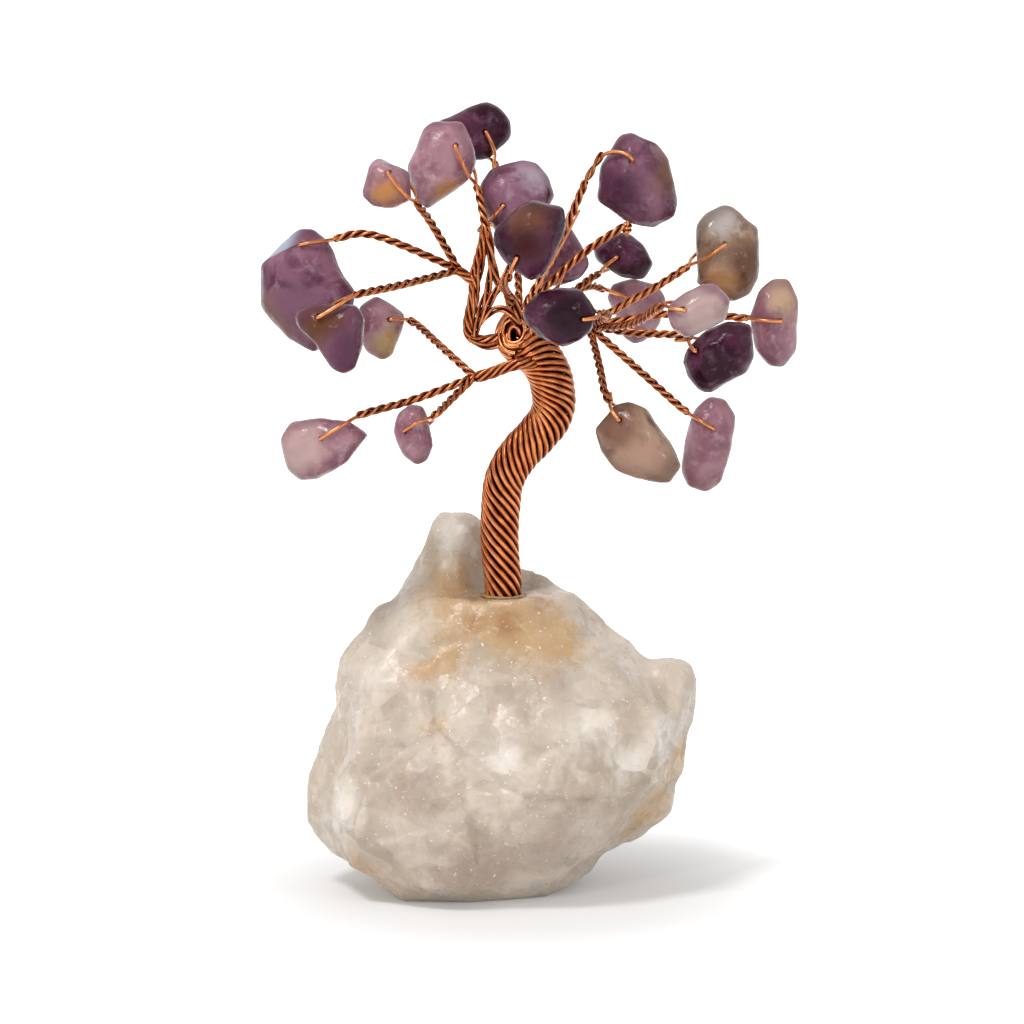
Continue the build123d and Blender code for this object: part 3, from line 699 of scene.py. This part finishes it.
def bundle_mesh(
    name, points, strands, lay, pitch, wire=wire_diameter, seed=1, smooth_through=False, **more
):
    """A twisted bundle along a route, from its wires' lay radius and the length of one turn."""
    inputs = dict(
        Strands=strands, Sides=10, Seed=seed, Strand_Radius=wire / 2, Lay_Radius=lay, End_Lay_Radius=lay,
        Turns_Per_Metre=1 / pitch, End_Turns_Per_Metre=1 / pitch, Looseness=0.25, Pinch=0.001 * mm,
        Step=0.22 * mm, Material=copper,
    )
    return grown(route(name, points, smooth_through), strands_tree, **{**inputs, **more})


def wire_mesh(name, points, wire=wire_diameter, **more):
    """One bare wire along a route."""
    return bundle_mesh(name, points, 1, 0.0, 1.0, wire, Looseness=0.0, **more)


def core_mesh(name, points, thickness, **more):
    """The dark middle of a bundle, in the grooves' painted shade, which shows only between its wires."""
    mesh = wire_mesh(name, points, thickness, **more)
    # Proud 0 gives the whole core the grooves' painted shade
    mesh.attributes["proud"].data.foreach_set("value", [0.0] * len(mesh.vertices))
    return mesh


def smooth_shaded(piece):
    """Shades a piece's faces as one smooth surface."""
    piece.data.polygons.foreach_set("use_smooth", [True] * len(piece.data.polygons))


def object_from(name, shape, material):
    """An object from a reshaped mesh."""
    data = bpy.data.meshes.new(name)
    shape.to_mesh(data)
    shape.free()
    data.materials.clear()
    data.materials.append(material)
    return linked(name, data)


def placed(piece, body, slot, *nodes):
    """Makes a piece ride on a body and stand for its CAD nodes; the slot is not used."""
    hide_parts(*nodes)
    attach(piece, body)


def wired(name, meshes, *nodes):
    """One copper piece from several meshes, in place of CAD nodes that ride on the root body."""
    whole = bmesh.new()
    whole.verts.layers.float.new("proud")
    for mesh in meshes:
        whole.from_mesh(mesh)
    piece = object_from(name, whole, copper)
    smooth_shaded(piece)
    placed(piece, "root", "copper_wire", *nodes)


# Trunk: twelve thick strands laid round a core of the rest, ever more slantwise towards the top. The core is
# in the grooves' painted shade.

trunk_strands = 12
trunk_wire = 0.82 * mm
trunk_foot_pitch = 1 / 34
foot = Vector((0, 0, socket_floor + 0.3 * mm))
seat, bend_start = [Vector((0, 0, seat_height + rise)) for rise in (0, trunk_straight)]
trunk_route = [foot, seat, bend_start, *trunk_points]
trunk_lay = (trunk_foot_diameter - trunk_wire) / 2
trunk_meshes = [
    bundle_mesh(
        "trunk strands", trunk_route, trunk_strands, trunk_lay, trunk_foot_pitch, trunk_wire, seed=3,
        smooth_through=True, End_Lay_Radius=(trunk_top_diameter - trunk_wire) / 2,
        End_Turns_Per_Metre=94.0, Looseness=0.2,
    ),
    core_mesh("trunk core", trunk_route, 2 * trunk_lay - 0.1 * mm, smooth_through=True, Sides=20),
]
wired("trunk_wires", trunk_meshes, "trunk")


# Knot: the trunk's wires wound inwards in a whorl

facing = Vector(knot_facing_shares).normalized()
knot_across = (Vector((1, 0, 0)) - facing * facing.x).normalized()
knot_rise = facing.cross(knot_across)
whorl_middle = knot_middle + knot_rise * 0.9 * mm + knot_across * 0.2 * mm


def on_whorl(radius, degrees, lift):
    """A place on the whorl by its reach and bearing from the middle, and how far it stands forward.

    The whorl comes to a point at the top.
    """
    bearing = math.radians(degrees)
    spread = knot_across * math.cos(bearing) + knot_rise * math.sin(bearing)
    point = 1 + 0.34 * max(0.0, math.cos(bearing - math.radians(100))) ** 4
    return whorl_middle + (radius * point * spread + lift * facing) * mm


# Each turn of the whorl: its reach from the middle at its start and end, the bearing it starts at, how
# far it sweeps clockwise, and how far it stands forward at its start and end, in mm and degrees.
whorl_turns = [
    (3.35, 3.2, 240, 330, -0.5, 0.2),
    (3.3, 3, 285, 330, 0.1, 0.8),
    (3.05, 2.75, 205, 360, 0.7, 1.1),
    (2.65, 2.45, 310, 330, 1.1, 1.5),
    (2.35, 2, 170, 360, 1.5, 1.8),
    (1.95, 1.6, 330, 330, 1.8, 1.9),
    (1.55, 1.1, 100, 300, 2, 1.6),
]
whorl_step = 30
whorl_meshes = []
for turn, (reach, end_reach, start, sweep, lift, end_lift) in enumerate(whorl_turns):
    steps = sweep // whorl_step
    points = []
    for k in range(steps + 1):
        share = k / steps
        stray = 0.4 * noise.noise(Vector((turn * 3.1, 0.6 * k, 0)))
        out = reach + (end_reach - reach) * share + stray
        forward = lift + (end_lift - lift) * share + stray
        points.append(on_whorl(out, start - whorl_step * k, forward))
    whorl_meshes.append(wire_mesh(f"whorl turn {turn}", points))
hook_places = [(1.2, 220, 1.4), (0.95, 160, 2.0), (0.75, 90, 2.3), (0.7, 10, 2.0), (0.4, -60, 1.2)]
hook = [on_whorl(*place) for place in hook_places]
backing = [on_whorl(1.6, angle, 0.4) for angle in range(0, 361, whorl_step)]
whorl_meshes.append(bundle_mesh("whorl hook", hook, 2, 0.26 * mm, 16 * mm, seed=13))
# A dark ring of painted shade behind the whorl's inner turns
whorl_meshes.append(core_mesh("whorl backing", backing, 2.4 * mm, Sides=20))
wired("knot_whorl", whorl_meshes, "crown_knot", "crown_coil")


# Limbs and branches

# Strands that stray from the high left limb
loose_lines = [
    [(-0.08, 0.01, 0.004), (-0.086, 0.01, 0.045), (-0.078, 0.008, 0.108), (-0.07, 0.01, 0.171),
     (-0.06, 0.019, 0.225), (-0.056, 0.026, 0.28)],
    [(-0.078, 0, 0.02), (-0.071, 0, 0.058), (-0.05, 0, 0.103), (-0.03, 0.01, 0.148),
     (-0.012, 0.02, 0.19), (0, 0.05, 0.24)],
    [(-0.074, 0.005, 0.048), (-0.062, 0.004, 0.098), (-0.05, 0.008, 0.148), (-0.046, 0.015, 0.204),
     (-0.05, 0.02, 0.245), (-0.054, 0.026, 0.28)],
    [(0, -0.03, 0.052), (-0.012, -0.02, 0.08), (-0.034, -0.01, 0.093), (-0.052, 0, 0.078),
     (-0.07, 0.004, 0.05)],
    [(0.004, -0.02, 0.05), (-0.002, -0.01, 0.098), (-0.016, 0, 0.125), (-0.034, 0.006, 0.145),
     (-0.043, 0.014, 0.185), (-0.048, 0.02, 0.235), (-0.054, 0.027, 0.285)],
    [(0, 0, 0.01), (-0.034, 0, -0.006), (-0.07, -0.002, -0.004), (-0.086, 0, 0.02)],
]
stray_wire = [(0.03, 0.06, 0.12), (0.05, 0.08, 0.17), (0.09, 0.06, 0.27), (0.11, 0.04, 0.33)]
loose_meshes = [
    bundle_mesh(
        f"loose {number}", crown_line(line), 3, 0.34 * mm, 11 * mm, 0.48 * mm, 60 + number, Looseness=0.6
    )
    for number, line in enumerate(loose_lines)
]
loose_meshes.append(wire_mesh("stray wire", crown_line(stray_wire), 0.36 * mm))

# Their routes, how thick they are, their strands and the length of one turn
rods = [
    (limb_line_shares, limb_diameter, 6, 9.5 * mm),
    (branch_line_shares, branch_diameter, 5, 7.5 * mm),
]
for routes, diameter, strands, pitch in rods:
    lay = (diameter - wire_diameter) / 2
    for name, line_shares in routes.items():
        points = crown_line(line_shares)
        meshes = [
            bundle_mesh(f"{name} strands", points, strands, lay, pitch, seed=len(name)),
            core_mesh(f"{name} core", points, 2 * lay - 0.2 * mm),
        ]
        if name == "high_left_limb":
            meshes += loose_meshes
        wired(f"{name}_wires", meshes, name)


# Chips


def copy_of(node):
    """A merged copy of a CAD node's mesh, for reshaping."""
    shape = bmesh.new()
    shape.from_mesh(frame["nodes"][node].data)
    bmesh.ops.remove_doubles(shape, verts=shape.verts, dist=1e-7)
    return shape


def settled(piece, kind, **settings):
    """Makes a modifier's result the piece's own mesh."""
    modifier = piece.modifiers.new(kind.lower(), kind)
    for name, setting in settings.items():
        setattr(modifier, name, setting)
    evaluated = piece.evaluated_get(bpy.context.evaluated_depsgraph_get())
    data = bpy.data.meshes.new_from_object(evaluated)
    piece.modifiers.clear()
    piece.data = data


def remeshed(piece, voxel, rounds):
    """Gives a piece an even mesh and smooths it."""
    settled(piece, "REMESH", mode="VOXEL", voxel_size=voxel)
    settled(piece, "SMOOTH", factor=0.5, iterations=rounds)


def reshaped(piece, swell):
    """Moves each point of a piece out along its normal, as far as swell says for its place."""
    points = piece.data.vertices
    moved = [v.co + v.normal * swell(v.co) for v in points]
    points.foreach_set("co", [c for place in moved for c in place])
    piece.data.update()


def plug_bore(shape, point, direction):
    """Takes away a drilled hole's wall and closes its two ends."""
    reach = bore_diameter / 2 + 0.05 * mm
    wall = [
        face
        for face in shape.faces
        if all((v.co - point).cross(direction).length < reach for v in face.verts)
    ]
    bmesh.ops.delete(shape, geom=wall, context="FACES")
    rims = [edge for edge in shape.edges if edge.is_boundary]
    bmesh.ops.holes_fill(shape, edges=rims, sides=0)
    loose = [v for v in shape.verts if not v.link_faces]
    bmesh.ops.delete(shape, geom=loose, context="VERTS")


def drill(point, direction, reach):
    """A drill bit along a hole's direction, which reaches this far each way from a point."""
    bit = bmesh.new()
    turn = direction.to_track_quat("Z", "Y").to_matrix()
    sides = 16
    angles = [2 * math.pi * k / sides for k in range(sides)]
    rim = [bore_diameter / 2 * Vector((math.cos(angle), math.sin(angle), 0)) for angle in angles]
    low, high = [
        [bit.verts.new(point + turn @ (spot + Vector((0, 0, height)))) for spot in rim]
        for height in (-reach, reach)
    ]
    for k in range(sides):
        after = (k + 1) % sides
        bit.faces.new((low[k], low[after], high[after], high[k]))
    bit.faces.new(low[::-1])
    bit.faces.new(high)
    return bit


def tumbled(seed, point, direction):
    """A tumbled stone's slow swells, small dents and nicks, and the dimple at each end of its hole."""

    def swell(place):
        wave = noise.noise(place / (4.2 * mm) + seed)
        dent = noise.noise(place / (1.3 * mm) + seed)
        nick = abs(noise.noise(place / (2.4 * mm) - seed))
        dimple = max(0.0, 1 - (place - point).cross(direction).length / (0.8 * mm)) ** 2
        return mm * (0.28 * wave + 0.05 + 0.05 * dent - 0.1 * nick - 0.18 * dimple)

    return swell


hinges = {
    joint["child"]: (Vector(joint["pos_m"]), Vector(joint["axis"]).normalized())
    for joint in frame["joints"]
}
stone_trees = {}

for name, chip in chips.items():
    point, direction = hinges[f"chip_{name}"]
    shape = copy_of(f"amethyst_{name}")
    plug_bore(shape, point, direction)
    piece = object_from(f"tumbled_amethyst_{name}", shape, amethyst_finish(name, looks[name], chip))
    remeshed(piece, 0.24 * mm, 34)
    reshaped(piece, tumbled(Vector((int(name) * 3.7, int(name) * 1.3, 0)), point, direction))
    settled(piece, "SMOOTH", factor=0.5, iterations=3)
    stone_trees[name] = BVHTree.FromPolygons(
        [v.co for v in piece.data.vertices], [p.vertices for p in piece.data.polygons]
    )
    bit = object_from("drill", drill(point, direction, 12 * mm), copper)
    settled(piece, "BOOLEAN", object=bit, operation="DIFFERENCE", solver="EXACT")
    bpy.data.objects.remove(bit)
    smooth_shaded(piece)
    placed(piece, f"chip_{name}", chip_slots.get(name, "amethyst"), f"amethyst_{name}")


# Twigs, each with the bare wire that passes through its chip


edge_gap = 0.45 * mm
surface_gap = 0.22 * mm
swing_limit = math.radians(8)
rope_lay = (twig_diameter - wire_diameter) / 2
rope_pitch = 5.0 * mm


def swings(axis):
    """Turns about a hinge, from one end of its range to the other."""
    return [Quaternion(axis, swing_limit * step / 2) for step in range(-2, 3)]


def over_stone(name, chip, shares, side):
    """How far out a wire lies over a chip's front or back, a little off the stone however far it swings."""
    _, _, out = chip_axes(chip)
    pivot, axis = hinges[f"chip_{name}"]
    lift = chip.size_shares[2] * chip_size / 2 + wire_lift
    high = lift + 2 * mm
    along = on_chip(chip, chip.hole_shares) - on_chip(chip, chip.neck_shares)
    ahead = along.normalized()
    sideways = out.cross(along).normalized()
    spots = [(sideways * off + ahead * on) * mm for off in (-0.3, 0, 0.3) for on in (-0.45, 0, 0.45)]
    heights = [wire_diameter / 2]
    for turn in swings(axis):
        for spot in spots:
            start = pivot + turn @ (on_chip(chip, shares, side * high) + spot - pivot)
            hit, _, _, distance = stone_trees[name].ray_cast(start, turn @ (-side * out), high)
            if hit:
                heights.append(high - distance + wire_diameter / 2 + surface_gap)
    return min(max(heights), lift)


def rope_end(name, neck, hole):
    """Where a twig's rope stops, just off the stone's edge however far the stone swings."""
    _, axis = hinges[f"chip_{name}"]
    way = (hole - neck).normalized()
    sideways = axis.cross(way).normalized()
    clear = []
    for turn in swings(axis):
        for off in (-0.5, 0, 0.5):
            start = hole + turn @ (neck + sideways * off * twig_diameter - hole)
            hit, _, _, distance = stone_trees[name].ray_cast(start, turn @ way)
            if hit:
                clear.append(distance)
    return neck + way * max(0.0, min(clear, default=0.0) - edge_gap)


def rope_mesh(name, points, seed):
    """A twig's rope of three strands, pinched to a neat end."""
    return bundle_mesh(name, points, 3, rope_lay, rope_pitch, seed=seed, Sides=12, Pinch=0.6 * mm)


def threaded_meshes(name, chip, line):
    """A twig that lies across its chip's front and dips into the stone, and the rope that leaves below."""
    _, _, out = chip_axes(chip)
    thickness = chip.size_shares[2] * chip_size
    neck, bend, dip, low_end = [
        on_chip(chip, (across, rise), share * thickness) for across, rise, share in threaded_wire_shares
    ]
    into = (low_end - dip).normalized()
    entry, _, _, _ = stone_trees[name].ray_cast(dip - into * 2 * mm, into)
    low_edge, _, _, _ = stone_trees[name].ray_cast(low_end + into * 2 * mm, -into)
    start = neck + (line[-1] - neck).normalized() * 2.0 * mm
    over = bend + (dip - bend) * 0.6 + out * 0.3 * mm
    sunk = [entry + out * 0.6 * mm - into * 0.4 * mm, entry + into * 0.3 * mm, entry + into * 1.5 * mm]
    side = into.orthogonal().normalized()
    wraps = [
        low_edge + into * (0.3 + 0.08 * k) * mm + 0.5 * mm * (Quaternion(into, math.pi / 4 * k) @ side)
        for k in range(20)
    ]
    lower = crown_line(threaded_twig_shares) + [low_edge + into * 0.5 * mm]
    return [
        rope_mesh(f"twig {name}", [*line, neck], 11),
        bundle_mesh(f"upper wires {name}", [neck, bend], 2, 0.27 * mm, rope_pitch, seed=12, Looseness=0.1),
        wire_mesh(f"wire {name}", [start, neck, bend, over, *sunk, low_end]),
        wire_mesh(f"wraps {name}", wraps, 0.42 * mm),
        rope_mesh(f"lower twig {name}", lower, 40),
    ]


def looped_meshes(name, chip, line):
    """A twig whose wire runs over its chip's front, through the hole and back over the other side."""
    _, _, out = chip_axes(chip)
    neck, hole = on_chip(chip, chip.neck_shares), on_chip(chip, chip.hole_shares)
    tip = rope_end(name, neck, hole)
    back = (line[-1] - neck).normalized()
    passed = (tip - neck).length / (hole - neck).length
    steps = 8
    loop = []
    for side in (1, -1):
        half = [tip + back * 2.2 * mm, tip + back * 0.6 * mm + out * side * 0.22 * mm]
        for k in range(steps):
            share = passed + (1 - passed) * k / steps
            shares = [a + (b - a) * share for a, b in zip(chip.neck_shares, chip.hole_shares)]
            half.append(on_chip(chip, shares, side * over_stone(name, chip, shares, side)))
        top = over_stone(name, chip, chip.hole_shares, side)
        half += [on_chip(chip, chip.hole_shares, side * (top - drop * mm)) for drop in (-0.05, 0.25, 1.0)]
        loop += half[::side]
    rope = [*line, neck + (tip - neck) * 0.2, tip]
    return [rope_mesh(f"twig {name}", rope, int(name)), wire_mesh(f"wire {name}", loop)]


for name, chip in chips.items():
    meshes_of = threaded_meshes if name == threaded_chip else looped_meshes
    meshes = meshes_of(name, chip, crown_line(chip.line_shares))
    wired(f"twig_{name}_wires", meshes, f"twig_{name}")


# Quartz block

rock = object_from("quartz_block", copy_of("quartz_base"), quartz_finish())
remeshed(rock, 0.5 * mm, 10)

# The ledge between the peak and the left shoulder is worn down to a slope. Its sizes are in mm.
ledge_low, ledge_high, ledge_right, ledge_fade = 37, 45, -6, 3


def clamped(value):
    """A value kept from 0 to 1."""
    return min(1.0, max(0.0, value))


ledge = rock.vertex_groups.new(name="ledge")
for vertex in rock.data.vertices:
    x, _, z = vertex.co / mm
    worn = [clamped(inside / ledge_fade) for inside in (z - ledge_low, ledge_high - z, ledge_right - x)]
    ledge.add([vertex.index], math.prod(worn), "REPLACE")
settled(rock, "SMOOTH", factor=0.8, iterations=25, vertex_group="ledge")

# How far back the front's creases and ledges reach
front_reach = 4 * mm

# Creases across the front: where each starts and ends across and up, its width and its depth, all in mm
creases = [
    ((-18.8, 19.3), (-14.2, 22.6), 1.6, 0.8),
    ((-14.2, 22.6), (-9.8, 25.1), 1.8, 1),
    ((-10.2, 30.1), (-10, 25.1), 1.3, 1),
    ((-12.2, 36.4), (-11, 35.4), 1.7, 0.9),
    ((-9.5, 48.6), (-3, 47.6), 1.2, 0.4),
    ((-4, 12), (-3.6, 7), 1, 0.5),
    ((8, 22.5), (14.5, 19), 1.5, 0.4),
]


def from_line(place, start, end):
    """How far a place on the front lies along a line and below it, and the line's length, in mm."""
    run = Vector(end) - Vector(start)
    ahead = run.normalized()
    off = Vector((place.x / mm - start[0], place.z / mm - start[1]))
    return off.dot(ahead), off.x * ahead.y - off.y * ahead.x, run.length


def creased(place):
    """How deep the front's creases are here."""
    if place.y > front_reach:
        return 0.0
    deepest = 0.0
    for start, end, width, depth in creases:
        along, below, length = from_line(place, start, end)
        off = math.hypot(along - min(max(along, 0.0), length), below)
        deepest = max(deepest, depth * max(0.0, 1 - off / width) ** 1.5)
    return deepest


# Ledges across the front, below which the block stands back: where each starts and ends across and up,
# how deep it is and how far below it the face comes forward again, all in mm
ledges = [
    ((-19, 18.6), (-10, 25.4), 1.1, 6),
    ((-9, 26.4), (2.8, 18.1), 0.7, 5),
    ((2.8, 18.1), (15.1, 16.4), 0.9, 6),
    ((15.1, 16.4), (22.5, 20), 1, 6),
    ((-14, 36), (-6, 38.5), 0.7, 3),
    ((8, 36.5), (16.5, 31), 0.6, 3),
]


def ledged(place):
    """How far the block stands back below the front's ledges here."""
    if place.y > front_reach:
        return 0.0
    deepest = 0.0
    for start, end, depth, fade in ledges:
        along, below, length = from_line(place, start, end)
        ends = clamped(min(along, length - along) / 1.5 + 0.6)
        if below > 0:
            deepest = max(deepest, depth * ends * min(1.0, below / 0.8) * max(0.0, 1 - below / fade))
    return deepest


def fracture(place, size, depth):
    """How far a broken face stands in: flat within each cell of rock, with a small step between cells."""
    cells, seeds = noise.voronoi(place / size)
    tilt = noise.noise_vector(seeds[0] * 5.3)
    flat = tilt.dot(place / size - seeds[0])
    border = min(1.0, (cells[1] - cells[0]) / 0.16)
    return depth * flat * border


def weathered(place):
    """The quartz's lumps, pits and broken faces, which leave its underside flat and its socket true."""
    off_axis = math.hypot(place.x, place.y)
    settle = min(1.0, place.z / (2.5 * mm))
    if place.z > seat_height - 2 * mm:
        settle *= clamped((off_axis - 3.2 * mm) / (4 * mm))
    elif off_axis < 3.5 * mm:
        settle = 0.0
    lump = noise.noise(place / (11 * mm))
    pit = noise.noise(place / (4.0 * mm) + Vector((9, 0, 0)))
    rough = noise.noise(place / (1.4 * mm))
    broken = fracture(place, 8.5 * mm, 1.0) + fracture(place, 3.6 * mm, 0.5)
    relief = 0.5 * lump + 0.3 * pit + 0.1 * rough + broken - creased(place) - ledged(place) + 0.1
    return mm * settle * relief


# The underside's left and right edges are raised off the ground, less and less up to a certain height
reshaped(rock, weathered)
for vertex in rock.data.vertices:
    left = clamped((-14 * mm - vertex.co.x) / (5 * mm))
    right = clamped((vertex.co.x - 6 * mm) / (7 * mm))
    for share, raised, top in ((left, 3.0 * mm, 7 * mm), (right, 2.2 * mm, 6 * mm)):
        vertex.co.z += raised * share * max(0.0, 1 - vertex.co.z / top)
low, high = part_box("quartz_base")
kept = [min(max(c, low[i]), high[i]) for v in rock.data.vertices for i, c in enumerate(v.co)]
rock.data.vertices.foreach_set("co", kept)
rock.data.update()
smooth_shaded(rock)
placed(rock, "root", "milky_quartz", "quartz_base")


# Glue bead round the foot

bead = object_from("glue_bead", copy_of("foot_glue"), glue_finish())
remeshed(bead, 0.16 * mm, 6)
reshaped(bead, lambda place: mm * (0.3 * noise.noise(place / (1.2 * mm)) - 0.25))
for vertex in bead.data.vertices:
    vertex.co.z -= 0.7 * max(0.0, vertex.co.z - seat_height)
smooth_shaded(bead)
placed(bead, "root", "clear_glue", "foot_glue")


# Floor, backdrop, lamps and camera


def looked_at(tree):
    """1 where the camera, a reflection or clear stone looks, and 0 for light on its way to a piece."""
    camera_ray = tree.node("ShaderNodeLightPath", output="Is Camera Ray")
    glossy_ray, clear_ray = [tree.other(camera_ray, f"Is {kind} Ray") for kind in ("Glossy", "Transmission")]
    return (camera_ray + glossy_ray + clear_ray).eased(0, 1)


slab = bmesh.new()
bmesh.ops.create_grid(slab, x_segments=8, y_segments=8, size=3.0)
floor_finish = Finish("white floor")
away = floor_finish.vector("LENGTH", floor_finish.place, output="Value")
glow = looked_at(floor_finish) * (0.12 + 0.88 * away.eased(0.02, 0.085))
floor_finish.finish(
    Base_Color=(0.8, 0.8, 0.8, 1),
    Roughness=0.9,
    Emission_Color=floor_finish.mix(glow, (0, 0, 0, 1), (1, 1, 1, 1)),
    Emission_Strength=1.0,
)
floor_piece = object_from("floor", slab, floor_finish.material)
floor_piece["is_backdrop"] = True

world = bpy.data.worlds.new("studio")
world.use_nodes = True
scene.world = world
sky = Tree(world.node_tree)
world.node_tree.nodes.clear()
strength = 0.62 + 0.38 * looked_at(sky)
light = sky.node("ShaderNodeBackground", None, {"Color": (1, 1, 1, 1), "Strength": strength})
surround = world.node_tree.nodes.new("ShaderNodeOutputWorld")
sky.feed(surround.inputs["Surface"], light)


def lamp(name, place, power, size):
    """A soft square lamp, aimed at the middle of the tree."""
    data = bpy.data.lights.new(name, "AREA")
    data.energy = power
    data.shape = "SQUARE"
    data.size = size
    made = linked(name, data)
    made.location = place
    made.rotation_euler = (Vector(place) - Vector((0, 0, 0.05))).to_track_quat("Z", "Y").to_euler()


lamp("key lamp", (-0.30, -0.36, 0.74), 3.1, 0.18)
lamp("sparkle lamp", (-0.30, -0.62, 0.36), 0.45, 0.03)
lamp("fill lamp", (0.55, -0.5, 0.35), 0.6, 0.05)

camera_data = bpy.data.cameras.new("camera")
camera_data.lens = 175.8
camera_data.sensor_width = 36
camera_data.clip_start = 0.01
camera_data.clip_end = 20
camera = linked("camera", camera_data)
aim = Vector((1.26, 0, 54.37)) * mm
distance = 700 * mm
rise = math.radians(9)
camera.location = aim + distance * Vector((0, -math.cos(rise), math.sin(rise)))
camera.rotation_euler = (camera.location - aim).to_track_quat("Z", "Y").to_euler()
scene.camera = camera
scene.view_settings.view_transform = "Standard"

low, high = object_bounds()
